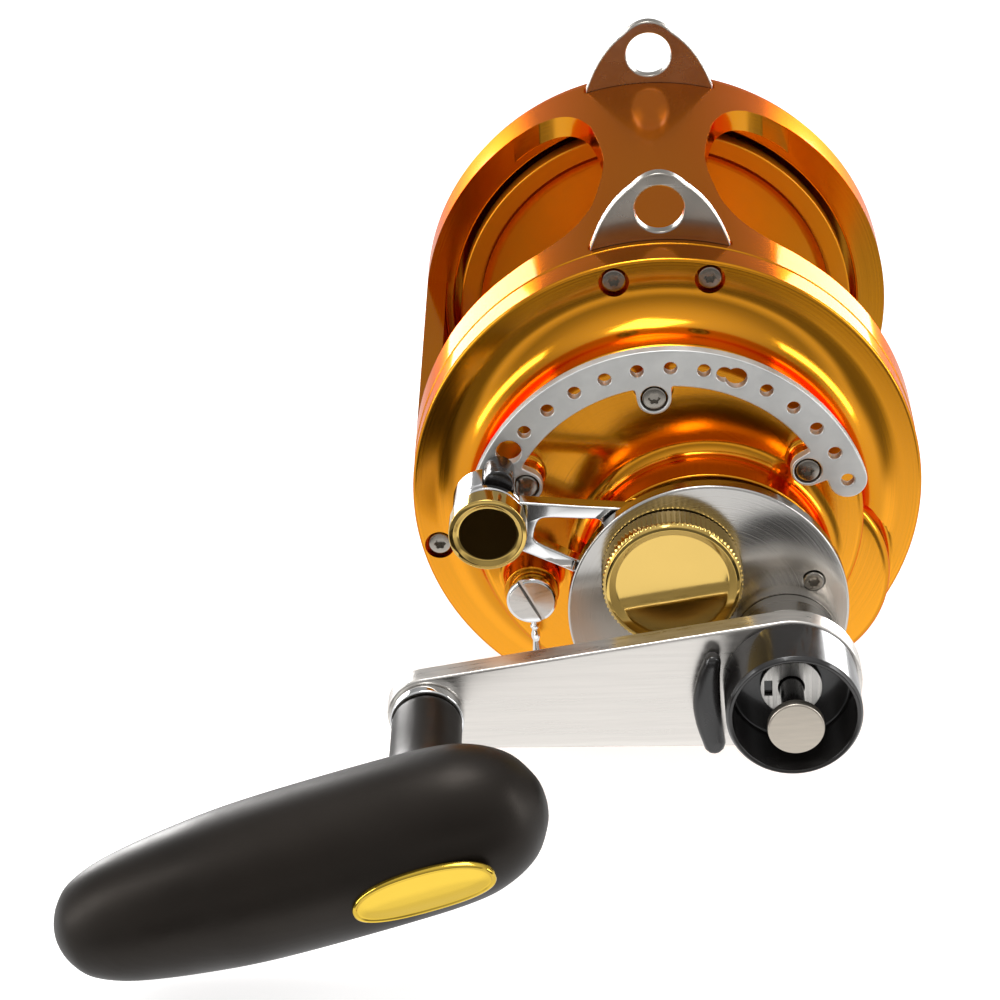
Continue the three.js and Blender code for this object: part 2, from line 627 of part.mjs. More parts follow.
const PLATE_SCREW_SUNK = 0.6;
const PLATE_SCREW_Y = FACE_Y + PLATE_SCREW_SUNK;
const PLATE_SCREW_LENGTH = PLATE_THICKNESS + PLATE_SCREW_BITE;
const SLEEVE_BEARING_RADIUS = 9;
const BUSHING_RADIUS = 8;
const SPINDLE_BORE = SPINDLE_RADIUS + 2 * RUN_GAP;
const SLEEVE_WALL = 1.1;
const SLEEVE_RADIUS = SPINDLE_BORE + SLEEVE_WALL;
const SLEEVE_SEAT_WALL = 2.5;
const SLEEVE_SEAT_LENGTH = 6;

function rightSidePlate() {
  let body = plateShell();
  const bulgeBack = FACE_Y + (2 * PLATE_THICKNESS) / 3;
  body = body.add(drum(BULGE_RADIUS, bulgeBack, depth(BULGE_DEPTH), CRANK.x, CRANK.z, 32));
  body = body.add(housingDrum());
  body = body.add(coverWall());
  body = body.add(drum(POST_RADIUS, depth(BOSS_DEPTH - 2), depth(POST_DEPTH), POST.x, POST.z, 18));
  for (const angle of QUADRANT_SCREW_ANGLES) {
    const at = polar(QUADRANT_SCREW_CIRCLE, angle);
    const [back, front] = [depth(BOSS_DEPTH - 1), depth(QUADRANT_BACK_DEPTH - GAP)];
    body = body.add(drum(QUADRANT_STUD_RADIUS, back, front, at.x, at.z, 14));
  }
  const innerBossFront = depth(BOSS_DEPTH - PLATE_WALL);
  const innerHousingFront = depth(HOUSING_DEPTH - PLATE_WALL);
  body = body.subtract(drum(BOSS_RADIUS - PLATE_WALL, PLATE_BACK_Y + 1, innerBossFront, 0, 0, 28));
  const bulgeFront = depth(BULGE_DEPTH - BULGE_WALL);
  body = body.subtract(drum(BULGE_CAVITY_RADIUS, PLATE_BACK_Y + 1, bulgeFront, CRANK.x, CRANK.z, 28));
  const cavity = HOUSING_RADIUS - PLATE_WALL;
  body = body.subtract(
    drum(cavity, innerBossFront + 1, innerHousingFront, COVER_CENTRE.x, COVER_CENTRE.z, 24),
  );
  const seatBack = innerHousingFront + SLEEVE_SEAT_LENGTH;
  const seatRadius = SLEEVE_BEARING_RADIUS + GAP;
  body = body.add(drum(seatRadius + SLEEVE_SEAT_WALL - GAP, seatBack, innerHousingFront - 1, 0, 0, 18));
  body = body.subtract(drum(seatRadius, seatBack + 1, innerHousingFront + 1, 0, 0, 18));
  body = body.subtract(boreForwards(SLEEVE_RADIUS + RUN_GAP + 0.5, innerHousingFront + 2, 0, 0, 18));
  body = body.subtract(boreForwards(BUSHING_RADIUS + GAP, innerHousingFront + 1, CRANK.x, CRANK.z, 18));
  for (const angle of PLATE_SCREW_ANGLES) {
    const at = polar(PLATE_SCREW_CIRCLE, angle);
    body = body.subtract(screwHole(at.x, at.z, PLATE_SCREW_Y, PLATE_SCREW_LENGTH, -1, PLATE_POCKET_GAP));
  }
  for (const angle of QUADRANT_SCREW_ANGLES) {
    const at = polar(QUADRANT_SCREW_CIRCLE, angle);
    const end = depth(QUADRANT_BACK_DEPTH - QUADRANT_SCREW_REACH);
    body = body.subtract(boreForwards(SHANK_RADIUS + GAP, end, at.x, at.z, 8));
  }
  for (const angle of COVER_SCREW_ANGLES) {
    const at = polar(COVER_SCREW_CIRCLE, angle);
    const [x, z] = [COVER_CENTRE.x + at.x, COVER_CENTRE.z + at.z];
    const end = depth(COVER_BACK_DEPTH - COVER_SCREW_REACH);
    body = body.subtract(boreForwards(SHANK_RADIUS + GAP, end, x, z, 8));
  }
  body = body.add(pawlPin());
  const stemEnd = depth(POST_DEPTH - CLICKER_STEM_LENGTH - 1);
  body = body.subtract(boreForwards(CLICKER_STEM_RADIUS + GAP, stemEnd, POST.x, POST.z, 16));
  return body;
}

// ---- left side plate ------------------------------------------------------------------------

const LEFT_PLATE_RADIUS = 62;
const LEFT_PLATE_THICKNESS = 4;
const LEFT_DOME_RADIUS = 30;
const LEFT_DOME_HEIGHT = 5;
const LEFT_SCREW_CIRCLE = 57.4;
const LEFT_SCREW_ANGLES = [40, 160, 280];
const LEFT_BEARING_RADIUS = 9.5;
const LEFT_PLATE_EDGE = 1;
const LEFT_DOME_FOOT = 3;
const LEFT_DOME_EDGE = 2;
const LEFT_SEAT_WALL = 3;
const LEFT_SCREW_SUNK = 0.4;
const LEFT_SCREW_LENGTH = 8;
const LEFT_FACE_Y = FAR_RING_BACK_Y + GAP + LEFT_PLATE_THICKNESS;

function leftSidePlate() {
  const back = FAR_RING_BACK_Y + GAP;
  const top = LEFT_FACE_Y + LEFT_DOME_HEIGHT;
  const profile = [
    [0, back],
    [LEFT_PLATE_RADIUS, back],
    [LEFT_PLATE_RADIUS, LEFT_FACE_Y - LEFT_PLATE_EDGE],
    [LEFT_PLATE_RADIUS - LEFT_PLATE_EDGE, LEFT_FACE_Y],
    [LEFT_DOME_RADIUS + LEFT_DOME_FOOT, LEFT_FACE_Y],
    [LEFT_DOME_RADIUS, top - LEFT_DOME_EDGE / 2],
    [LEFT_DOME_RADIUS - LEFT_DOME_EDGE, top],
    [0, top],
  ];
  let body = turned(profile, 36);
  body = body.subtract(drum(LEFT_DOME_RADIUS - PLATE_WALL, top - PLATE_WALL, back - 1, 0, 0, 28));
  const seatRadius = LEFT_BEARING_RADIUS + LEFT_SEAT_WALL;
  const seat = tube(seatRadius, LEFT_BEARING_RADIUS + GAP, top - PLATE_WALL + 0.5, back + 0.5, 0, 0, 18);
  body = body.add(seat);
  for (const angle of LEFT_SCREW_ANGLES) {
    const at = polar(LEFT_SCREW_CIRCLE, angle);
    const front = LEFT_FACE_Y - LEFT_SCREW_SUNK;
    body = body.subtract(screwHole(at.x, at.z, front, LEFT_SCREW_LENGTH, 1, POCKET_GAP));
  }
  return body;
}

// ---- spool and drag -------------------------------------------------------------------------

const SPOOL_BORE_RADIUS = 9.5;
const SPOOL_BEARING_WIDTH = 5;
const SPOOL_BEARING_INSET = 3.5; // from the flange's outer face in to the middle of the bearing
const SPINDLE_FRONT_DEPTH = KNOB_BACK_DEPTH + 2.4; // the spindle's tip lies inside the knob

function spool() {
  const half = SPOOL_FLANGE_FACE_Y;
  const profile = [
    [SPOOL_BORE_RADIUS, -SPOOL_FLANGE_BACK_Y],
    [SPOOL_FLANGE_RADIUS, -SPOOL_FLANGE_BACK_Y],
    [SPOOL_FLANGE_RADIUS, -half],
    [SPOOL_FLANGE_RADIUS - 5, -half],
    [SPOOL_FLANGE_RADIUS - 7, -half - 1.6],
    [SPOOL_ARBOR_RADIUS + 6, -half + 0.5],
    [SPOOL_ARBOR_RADIUS, -half + 7],
    [SPOOL_ARBOR_RADIUS, half - 7],
    [SPOOL_ARBOR_RADIUS + 6, half - 0.5],
    [SPOOL_FLANGE_RADIUS - 7, half + 1.6],
    [SPOOL_FLANGE_RADIUS - 5, half],
    [SPOOL_FLANGE_RADIUS, half],
    [SPOOL_FLANGE_RADIUS, SPOOL_FLANGE_BACK_Y],
    [SPOOL_BORE_RADIUS, SPOOL_FLANGE_BACK_Y],
    [SPOOL_BORE_RADIUS, -SPOOL_FLANGE_BACK_Y],
  ];
  return turned(profile, 40);
}

function dragWasher() {
  return tube(DRAG_PLATE_RADIUS, 16, -SPOOL_FLANGE_BACK_Y - GAP, DRAG_WASHER_FACE_Y, 0, 0, 32);
}

function pressurePlate() {
  const back = DRAG_PLATE_BACK_Y;
  const bore = SLEEVE_RADIUS + GAP;
  const profile = [
    [bore, back],
    [DRAG_PLATE_RADIUS, back],
    [DRAG_PLATE_RADIUS, back - 2.4],
    [14, back - 2.4],
    [12, back - 6],
    [bore, back - 6],
    [bore, back],
  ];
  return turned(profile, 28);
}

function spindle() {
  const profile = [
    [0, depth(SPINDLE_FRONT_DEPTH)],
    [SPINDLE_RADIUS - 0.5, depth(SPINDLE_FRONT_DEPTH)],
    [SPINDLE_RADIUS, depth(SPINDLE_FRONT_DEPTH - 0.5)],
    [SPINDLE_RADIUS, LEFT_FACE_Y + 0.5],
    [0, LEFT_FACE_Y + 0.5],
  ];
  return turned(profile, 20);
}

function ballBearing(outer, inner, backY, frontY, x = 0, z = 0) {
  return tube(outer, inner, backY, frontY, x, z, 16);
}

function clickRatchet() {
  const teeth = 18;
  const points = [];
  for (let i = 0; i < teeth; i += 1) {
    for (const [share, radius] of [[0, 15], [0.5, 17]]) {
      const angle = (2 * Math.PI * (i + share)) / teeth;
      points.push([radius * Math.cos(angle), radius * Math.sin(angle)]);
    }
  }
  const plate = slab(polygon(points), SPOOL_FLANGE_BACK_Y + GAP + 2, SPOOL_FLANGE_BACK_Y + GAP);
  return plate.subtract(drum(SPOOL_BORE_RADIUS + 1, 60, 40, 0, 0, 24));
}

// ---- gears ----------------------------------------------------------------------------------

// involute spur gear outline about the origin; one tooth points along `toward` (degrees, XZ plane)
function gearOutline(teeth, toward, startOnGap) {
  const pitch = (GEAR_MODULE * teeth) / 2;
  const base = pitch * Math.cos(radians(20));
  const tip = pitch + GEAR_MODULE;
  const root = pitch - 1.25 * GEAR_MODULE;
  const involute = (r) => {
    const roll = Math.acos(Math.min(1, base / r));
    return Math.tan(roll) - roll;
  };
  const halfTooth = (Math.PI * GEAR_MODULE - GEAR_BACKLASH) / 4 / pitch;
  const lean = (r) => halfTooth + involute(pitch) - involute(Math.max(r, base));
  const step = (2 * Math.PI) / teeth;
  const first = radians(toward) + (startOnGap ? step / 2 : 0);
  const points = [];
  for (let i = 0; i < teeth; i += 1) {
    const centre = first + i * step;
    for (const [r, side] of [[root, -1], [tip, -1], [tip, 1], [root, 1]]) {
      const angle = centre + side * lean(r);
      points.push([r * Math.cos(angle), r * Math.sin(angle)]);
    }
  }
  return polygon(points);
}

const TOWARD_SPOOL = (Math.atan2(-CRANK.z, -CRANK.x) * 180) / Math.PI;
const TOWARD_CRANK = (Math.atan2(CRANK.z, CRANK.x) * 180) / Math.PI;

function mainGear(teeth, backY) {
  let wheel = slab(gearOutline(teeth, TOWARD_SPOOL, false), backY, backY - GEAR_WIDTH);
  wheel = wheel.subtract(drum(CRANK_SHAFT_RADIUS + GAP, backY + 1, backY - GEAR_WIDTH - 1, 0, 0, 16));
  return moved(wheel, CRANK.x, 0, CRANK.z);
}

function pinion(teeth, backY) {
  const wheel = slab(gearOutline(teeth, TOWARD_CRANK, true), backY, backY - GEAR_WIDTH);
  return wheel.subtract(drum(SLEEVE_RADIUS + GAP, backY + 1, backY - GEAR_WIDTH - 1, 0, 0, 16));
}

const RATCHET_BACK_Y = -68.8;
const RATCHET_THICKNESS = 3;
const PAWL_PIN_RADIUS = 1.5;
const RATCHET_RADIUS = 12;
const PAWL_PIVOT = { x: CRANK.x, z: CRANK.z - RATCHET_RADIUS - 5.5 };

function antiReverseRatchet() {
  const teeth = 12;
  const points = [];
  for (let i = 0; i < teeth; i += 1) {
    const start = (2 * Math.PI * i) / teeth;
    points.push([(RATCHET_RADIUS - 2) * Math.cos(start), (RATCHET_RADIUS - 2) * Math.sin(start)]);
    const rise = start + (1.8 * Math.PI) / teeth;
    points.push([RATCHET_RADIUS * Math.cos(rise), RATCHET_RADIUS * Math.sin(rise)]);
  }
  let wheel = slab(polygon(points), RATCHET_BACK_Y, RATCHET_BACK_Y - RATCHET_THICKNESS);
  wheel = wheel.subtract(boreForwards(CRANK_SHAFT_RADIUS + GAP, RATCHET_BACK_Y + 1, 0, 0, 24));
  return moved(wheel, CRANK.x, 0, CRANK.z);
}

function antiReversePawl() {
  const noseRadius = 1.2;
  const reach = polar(RATCHET_RADIUS + noseRadius + GAP, 208);
  const nose = { x: CRANK.x + reach.x, z: CRANK.z + reach.z };
  const front = RATCHET_BACK_Y - RATCHET_THICKNESS;
  const arm = slab(stadium(PAWL_PIVOT, 3, nose, noseRadius, 6), RATCHET_BACK_Y, front);
  const { x, z } = PAWL_PIVOT;
  return arm.subtract(boreForwards(PAWL_PIN_RADIUS + GAP, RATCHET_BACK_Y + 1, x, z, 10));
}

// the stud inside the housing that the pawl turns on
function pawlPin() {
  return drum(PAWL_PIN_RADIUS, RATCHET_BACK_Y + 1, depth(BULGE_DEPTH - 1), PAWL_PIVOT.x, PAWL_PIVOT.z, 10);
}

// ---- drag quadrant and lever ----------------------------------------------------------------

function arcBand(radius, halfWidth, fromAngle, toAngle, steps) {
  const points = [];
  for (let i = 0; i <= steps; i += 1) {
    const at = polar(radius + halfWidth, fromAngle + ((toAngle - fromAngle) * i) / steps);
    points.push([at.x, at.z]);
  }
  const end = polar(radius, toAngle);
  for (let i = 1; i < 8; i += 1) {
    const turn = polar(halfWidth, toAngle + (180 * i) / 8);
    points.push([end.x + turn.x, end.z + turn.z]);
  }
  for (let i = steps; i >= 0; i -= 1) {
    const at = polar(radius - halfWidth, fromAngle + ((toAngle - fromAngle) * i) / steps);
    points.push([at.x, at.z]);
  }
  return polygon(points);
}

function dragQuadrant() {
  const back = depth(QUADRANT_BACK_DEPTH);
  const front = depth(QUADRANT_FRONT_DEPTH);
  const last = DETENT_FIRST + DETENT_PITCH * (DETENT_COUNT - 1);
  const rim = drum(DETENT_CIRCLE + QUADRANT_HALF_WIDTH, back + 1, front - 1, 0, 0, 56);
  let body = slab(arcBand(DETENT_CIRCLE, QUADRANT_HALF_WIDTH, QUADRANT_START, last, 20), back, front);
  for (const angle of QUADRANT_SCREW_ANGLES) {
    const inner = polar(QUADRANT_SCREW_CIRCLE, angle);
    const outer = polar(DETENT_CIRCLE, angle);
    const ear = slab(stadium(inner, QUADRANT_EAR_RADIUS, outer, QUADRANT_EAR_ROOT_RADIUS, 6), back, front);
    body = body.add(ear.intersect(rim));
  }
  const through = (radius, at, segments) => drum(radius, back + 1, front - 1, at.x, at.z, segments);
  for (let i = 0; i < DETENT_COUNT; i += 1) {
    const at = polar(DETENT_CIRCLE, DETENT_FIRST + DETENT_PITCH * i);
    const strike = i === DETENT_STRIKE;
    body = body.subtract(through(strike ? STRIKE_RADIUS : DETENT_RADIUS, at, strike ? 14 : 8));
  }
  const keyhole = polar(DETENT_CIRCLE, DETENT_FIRST + DETENT_PITCH * KEYHOLE_PITCHES);
  body = body.subtract(through(KEYHOLE_RADIUS, keyhole, 12));
  body = body.subtract(through(FREE_HOLE_RADIUS, polar(DETENT_CIRCLE, FREE_HOLE_ANGLE), 14));
  const seatDepth = QUADRANT_FRONT_DEPTH - QUADRANT_HEAD_SUNK - QUADRANT_HEAD_LENGTH - GAP;
  for (const angle of QUADRANT_SCREW_ANGLES) {
    const at = polar(QUADRANT_SCREW_CIRCLE, angle);
    body = body.subtract(through(SHANK_RADIUS + GAP, at, 12));
    body = body.subtract(drum(HEAD_RADIUS + POCKET_GAP, depth(seatDepth), front - 1, at.x, at.z, 12));
  }
  return body;
}

function leverArmShape() {
  const dir = polar(1, LEVER_ANGLE);
  const side = { x: dir.z, z: -dir.x };
  const at = (along, across) => [
    dir.x * along + side.x * across,
    dir.z * along + side.z * across,
  ];
  const { root, bend, tip } = LEVER_HALF_WIDTHS;
  const upper = [[6, root], [LEVER_BEND_AT, bend], [LEVER_NARROW_AT, tip], [DETENT_CIRCLE, tip]];
  const lower = [...upper].reverse().map(([along, across]) => [along, -across]);
  const outline = polygon([...upper, ...lower].map(([along, across]) => at(along, across)));
  const { start, halfStart, bend: middle, halfBend, end, halfEnd } = LEVER_WINDOW;
  const near = [[start, halfStart], [middle, halfBend], [end - 1, halfEnd]];
  const far = [...near].reverse().map(([along, across]) => [along, -across]);
  const hole = new THREE.Path();
  hole.setFromPoints([...near, [end, 0], ...far].map(([a, b]) => new THREE.Vector2(...at(a, b))));
  outline.holes.push(hole);
  return outline;
}

function dragLever() {
  const back = depth(LEVER_BACK_DEPTH);
  const front = depth(LEVER_FRONT_DEPTH);
  let body = slab(leverArmShape(), back, front);
  body = body.add(drum(LEVER_HUB_RADIUS, back, front, 0, 0, 28));
  body = body.subtract(drum(CAM_RADIUS + GAP, back + 1, front - 1, 0, 0, 20));
  const barrel = [
    [0, depth(BARREL_FRONT_DEPTH)],
    [BARREL_RADIUS, depth(BARREL_FRONT_DEPTH)],
    [BARREL_RADIUS, depth(BARREL_GROOVE_DEPTH + BARREL_GROOVE)],
    [BARREL_RADIUS - BARREL_GROOVE, depth(BARREL_GROOVE_DEPTH)],
    [BARREL_RADIUS, depth(BARREL_GROOVE_DEPTH - BARREL_GROOVE)],
    [BARREL_RADIUS, depth(BARREL_BACK_DEPTH)],
    [0, depth(BARREL_BACK_DEPTH)],
  ];
  body = body.add(turned(barrel, 24, BARREL.x, BARREL.z));
  const stem = BUTTON_STEM_RADIUS + GAP;
  body = body.subtract(boreForwards(stem, depth(BUTTON_STEM_DEPTH - 3), BARREL.x, BARREL.z, 16));
  const [pocketBack, pocketFront] = [depth(BARREL_BACK_DEPTH - 5), depth(PLUNGER_FRONT_DEPTH + 1.6)];
  body = body.subtract(drum(PLUNGER_RADIUS + GAP, pocketBack, pocketFront, PLUNGER.x, PLUNGER.z, 20));
  return body;
}

const CAM_RADIUS = 8.5;
const BUTTON_STEM_RADIUS = 2.5;

function dragCam() {
  const [back, front] = [depth(LEVER_BACK_DEPTH), depth(LEVER_FRONT_DEPTH - 0.4)];
  return tube(CAM_RADIUS, SPINDLE_BORE + RUN_GAP, back, front, 0, 0, 20);
}

function leverButton() {
  const skirt = BARREL_RADIUS + GAP;
  const profile = [
    [0, depth(BUTTON_FRONT_DEPTH - 0.6)],
    [BUTTON_RADIUS - 1.6, depth(BUTTON_FRONT_DEPTH - 0.6)],
    [BUTTON_RADIUS - 0.8, depth(BUTTON_FRONT_DEPTH)],
    [BUTTON_RADIUS, depth(BUTTON_FRONT_DEPTH - 0.6)],
    [BUTTON_RADIUS, depth(BUTTON_SKIRT_DEPTH)],
    [skirt, depth(BUTTON_SKIRT_DEPTH)],
    [skirt, depth(BUTTON_FRONT_DEPTH - 1.8)],
    [BUTTON_STEM_RADIUS, depth(BUTTON_FRONT_DEPTH - 1.8)],
    [BUTTON_STEM_RADIUS, depth(BUTTON_STEM_DEPTH)],
    [0, depth(BUTTON_STEM_DEPTH)],
  ];
  return turned(profile, 24, BARREL.x, BARREL.z);
}

function detentPlunger() {
  const profile = [
    [0, depth(PLUNGER_FRONT_DEPTH)],
    [PLUNGER_RADIUS, depth(PLUNGER_FRONT_DEPTH)],
    [PLUNGER_RADIUS, depth(QUADRANT_FRONT_DEPTH + 0.9)],
    [PLUNGER_RADIUS - 0.6, depth(QUADRANT_FRONT_DEPTH + GAP)],
    [0, depth(QUADRANT_FRONT_DEPTH + GAP)],
  ];
  return turned(profile, 20, PLUNGER.x, PLUNGER.z);
}

// ---- gear cover and preset knob -------------------------------------------------------------

const KNOB_STEM_RADIUS = 7.6;

function gearCover() {
  const profile = [
    [0, depth(COVER_FRONT_DEPTH)],
    [COVER_RADIUS - COVER_EDGE, depth(COVER_FRONT_DEPTH)],
    [COVER_RADIUS, depth(COVER_FRONT_DEPTH - COVER_EDGE)],
    [COVER_RADIUS, depth(COVER_BACK_DEPTH)],
    [0, depth(COVER_BACK_DEPTH)],
  ];
  let body = turned(profile, 40, COVER_CENTRE.x, COVER_CENTRE.z);
  const [back, front] = [depth(COVER_BACK_DEPTH) + 1, depth(COVER_FRONT_DEPTH) - 1];
  body = body.subtract(drum(KNOB_STEM_RADIUS + 0.5, back, front, 0, 0, 20));
  body = body.subtract(drum(CRANK_SHAFT_RADIUS + RUN_GAP, back, front, CRANK.x, CRANK.z, 16));
  for (const angle of COVER_SCREW_ANGLES) {
    const at = polar(COVER_SCREW_CIRCLE, angle);
    body = body.subtract(coverScrewHole(COVER_CENTRE.x + at.x, COVER_CENTRE.z + at.z));
  }
  return body;
}

function coverScrewHole(x, z) {
  const seat = boreForwards(COVER_HEAD_RADIUS + POCKET_GAP, depth(COVER_BACK_DEPTH + COVER_SEAT), x, z, 12);
  return seat.add(boreForwards(SHANK_RADIUS + GAP, depth(COVER_BACK_DEPTH - 1), x, z, 8));
}

function presetKnob() {
  const points = [];
  for (let i = 0; i < KNOB_RIBS; i += 1) {
    for (const [share, radius] of [[0, KNOB_RADIUS], [0.5, KNOB_RADIUS - KNOB_RIB_DEPTH]]) {
      const angle = (2 * Math.PI * (i + share)) / KNOB_RIBS;
      points.push([radius * Math.cos(angle), radius * Math.sin(angle)]);
    }
  }
  let body = slab(polygon(points), depth(KNOB_BACK_DEPTH), depth(KNOB_FRONT_DEPTH - 0.6));
  const front = [
    [0, depth(KNOB_FRONT_DEPTH - 1)],
    [KNOB_RADIUS - 0.6, depth(KNOB_FRONT_DEPTH - 1)],
    [KNOB_RADIUS - 1, depth(KNOB_FRONT_DEPTH)],
    [0, depth(KNOB_FRONT_DEPTH)],
  ];
  body = body.add(turned(front, 36));
  const dish = [
    [0, depth(KNOB_FRONT_DEPTH - KNOB_DISH)],
    [9, depth(KNOB_FRONT_DEPTH - 1.1)],
    [KNOB_RADIUS - KNOB_RIM, depth(KNOB_FRONT_DEPTH + 0.1)],
    [0, depth(KNOB_FRONT_DEPTH + 0.1)],
  ];
  body = body.subtract(turned(dish, 24));
  const stemBack = depth(COVER_BACK_DEPTH + 0.2);
  body = body.add(drum(KNOB_STEM_RADIUS, stemBack, depth(KNOB_BACK_DEPTH + 1), 0, 0, 18));
  const boreFront = depth(SPINDLE_FRONT_DEPTH + GAP + 0.1);
  return body.subtract(drum(SPINDLE_RADIUS + GAP, stemBack + 1, boreFront, 0, 0, 20));
}

// ---- clicker --------------------------------------------------------------------------------

const CLICKER_STEM_RADIUS = 2.6;
const CLICKER_STEM_LENGTH = 5; // how far the stem reaches into the post
const CLICKER_THICKNESS = 2.2;

function clickerLever() {
  const back = depth(POST_DEPTH + GAP);
  const front = depth(POST_DEPTH + GAP + CLICKER_THICKNESS);
  const neck = { x: POST.x + CLICKER_NECK.x, z: POST.z + CLICKER_NECK.z };
  const tail = { x: POST.x + CLICKER_TAIL.x, z: POST.z + CLICKER_TAIL.z };
  let body = slab(stadium(POST, CLICKER_EYE_RADIUS, neck, CLICKER_NECK.radius, 12), back, front);
  body = body.add(slab(stadium(neck, CLICKER_TAIL.neck, tail, CLICKER_TAIL.radius, 10), back, front));
  return body.subtract(drum(CLICKER_STEM_RADIUS + GAP, back + 1, front - 1, POST.x, POST.z, 16));
}

function clickerPivotScrew() {
  const back = depth(POST_DEPTH + 2 * GAP + CLICKER_THICKNESS);
  const front = depth(CLICKER_SCREW_FRONT_DEPTH);
  const profile = [
    [0, front],
    [POST_RADIUS - CLICKER_SCREW_EDGE, front],
    [POST_RADIUS, front + CLICKER_SCREW_EDGE],
    [POST_RADIUS, back],
    [CLICKER_STEM_RADIUS, back],
    [CLICKER_STEM_RADIUS, depth(POST_DEPTH - CLICKER_STEM_LENGTH)],
    [0, depth(POST_DEPTH - CLICKER_STEM_LENGTH)],
  ];
  const { halfLength, halfWidth, depth: slotDepth, angle } = CLICKER_SLOT;
  const slot = rectangle(-halfLength, halfLength, -halfWidth, halfWidth);
  const cut = slab(slot, front + slotDepth, front - 1).rotate([0, angle, 0]);
  return turned(profile, 28, POST.x, POST.z).subtract(moved(cut, POST.x, 0, POST.z));
}

// ---- crank ----------------------------------------------------------------------------------

// the blind hole that the low speed button's stem slides in, through the arm and into the shaft
function shiftBore() {
  const bottom = depth(CUP_BACK_DEPTH - SHIFT_TRAVEL - 1);
  return drum(SHIFT_STEM_RADIUS + RUN_GAP, bottom, depth(CUP_BACK_DEPTH + 1), CRANK.x, CRANK.z, 20);
}

function crankShaft() {
  const [back, front] = [LOW_GEAR_BACK_Y + CRANK_SHAFT_TAIL, depth(ARM_FRONT_DEPTH - ARM_SKIN - GAP)];
  return drum(CRANK_SHAFT_RADIUS, back, front, CRANK.x, CRANK.z, 24).subtract(shiftBore());
}

function crankBushing() {
  const [back, front] = [depth(HOUSING_DEPTH - PLATE_WALL), depth(COVER_BACK_DEPTH - GAP)];
  return tube(BUSHING_RADIUS, CRANK_SHAFT_RADIUS + RUN_GAP, back, front, CRANK.x, CRANK.z, 24);
}

function crankCollar() {
  const back = depth(COVER_FRONT_DEPTH + GAP);
  const front = depth(ARM_BACK_DEPTH - GAP);
  const bore = CRANK_SHAFT_RADIUS + GAP;
  const profile = [
    [bore, front],
    [COLLAR_RADIUS - 0.4, front],
    [COLLAR_RADIUS, front + 1],
    [COLLAR_RADIUS, back - COLLAR_STEP],
    [COLLAR_RADIUS - 0.6, back - COLLAR_STEP + 0.4],
    [COLLAR_RADIUS - 0.6, back],
    [bore, back],
    [bore, front],
  ];
  return turned(profile, 30, CRANK.x, CRANK.z);
}

function crankArm() {
  const hub = { x: CRANK.x, z: CRANK.z - ARM_HUB_DROP };
  const tip = { x: GRIP.x, z: GRIP.z + 0.2 };
  const [back, front] = [depth(ARM_BACK_DEPTH), depth(ARM_FRONT_DEPTH)];
  const bar = slab(stadium(hub, ARM_HUB_RADIUS, tip, ARM_TIP_RADIUS, 20), back, front);
  const shaftHole = drum(CRANK_SHAFT_RADIUS + GAP, back + 1, front + ARM_SKIN, CRANK.x, CRANK.z, 24);
  const pinHole = drum(GRIP_PIN_RADIUS + GAP, back + 1, front - 1, GRIP.x, GRIP.z, 20);
  return bar.subtract(shaftHole).subtract(pinHole).subtract(shiftBore());
}

const CUP_BACK_DEPTH = ARM_FRONT_DEPTH + GAP;
const CUP_FLOOR = 1.5;

function shiftCup() {
  const rim = depth(CUP_FRONT_DEPTH);
  const back = depth(CUP_BACK_DEPTH);
  const floor = back - CUP_FLOOR;
  const hole = SHIFT_STEM_RADIUS + RUN_GAP;
  const profile = [
    [hole, back],
    [CUP_RADIUS, back],
    [CUP_RADIUS, rim + 0.8],
    [CUP_RADIUS - 0.7, rim],
    [CUP_RADIUS - CUP_WALL, rim + 0.3],
    [CUP_RADIUS - CUP_WALL, floor],
    [hole, floor],
    [hole, back],
  ];
  return turned(profile, 32, CRANK.x, CRANK.z);
}

const SHIFT_WASHER_DEPTH = CUP_BACK_DEPTH + CUP_FLOOR + GAP;

function shiftWasher() {
  const back = depth(SHIFT_WASHER_DEPTH);
  const front = depth(SHIFT_WASHER_DEPTH + 1);
  const body = tube(SHIFT_WASHER_RADIUS, SHIFT_STEM_RADIUS + RUN_GAP, back, front, CRANK.x, CRANK.z, 28);
  const { offset, halfWidth, halfLength } = SHIFT_WASHER_SLOT;
  const [x, z] = [CRANK.x + offset, CRANK.z];
  const slot = rectangle(x - halfWidth, x + halfWidth, z - halfLength, z + halfLength);
  return body.subtract(slab(slot, back + 1, front - 1));
}

function shiftButton() {
  const front = depth(SHIFT_BUTTON_FRONT_DEPTH);
  const profile = [
    [0, front],
    [SHIFT_BUTTON_RADIUS - 0.5, front],
    [SHIFT_BUTTON_RADIUS, front + 0.5],
    [SHIFT_BUTTON_RADIUS, front + SHIFT_BUTTON_THICKNESS],
    [0, front + SHIFT_BUTTON_THICKNESS],
  ];
  return turned(profile, 24, CRANK.x, CRANK.z);
}

function shiftStem() {
  const front = depth(SHIFT_BUTTON_FRONT_DEPTH) + SHIFT_BUTTON_THICKNESS + GAP;
  const profile = [
    [0, front],
    [SHIFT_STEM_HEAD_RADIUS, front],
    [SHIFT_STEM_HEAD_RADIUS, front + 2],
    [SHIFT_STEM_RADIUS, front + 2.6],
    [SHIFT_STEM_RADIUS, depth(CUP_BACK_DEPTH)],
    [0, depth(CUP_BACK_DEPTH)],
  ];
  return turned(profile, 20, CRANK.x, CRANK.z);
}

const RELEASE_PIVOT = { x: 8, z: -11 };
const RELEASE_WAIST = { x: 7.6, z: -22 };
const RELEASE_TAIL = { x: 8.5, z: -34.6 };
const RELEASE_THICKNESS = 4.6;
const RELEASE_RADII = { pivot: 3, waist: 2.5, tail: 2.9 };

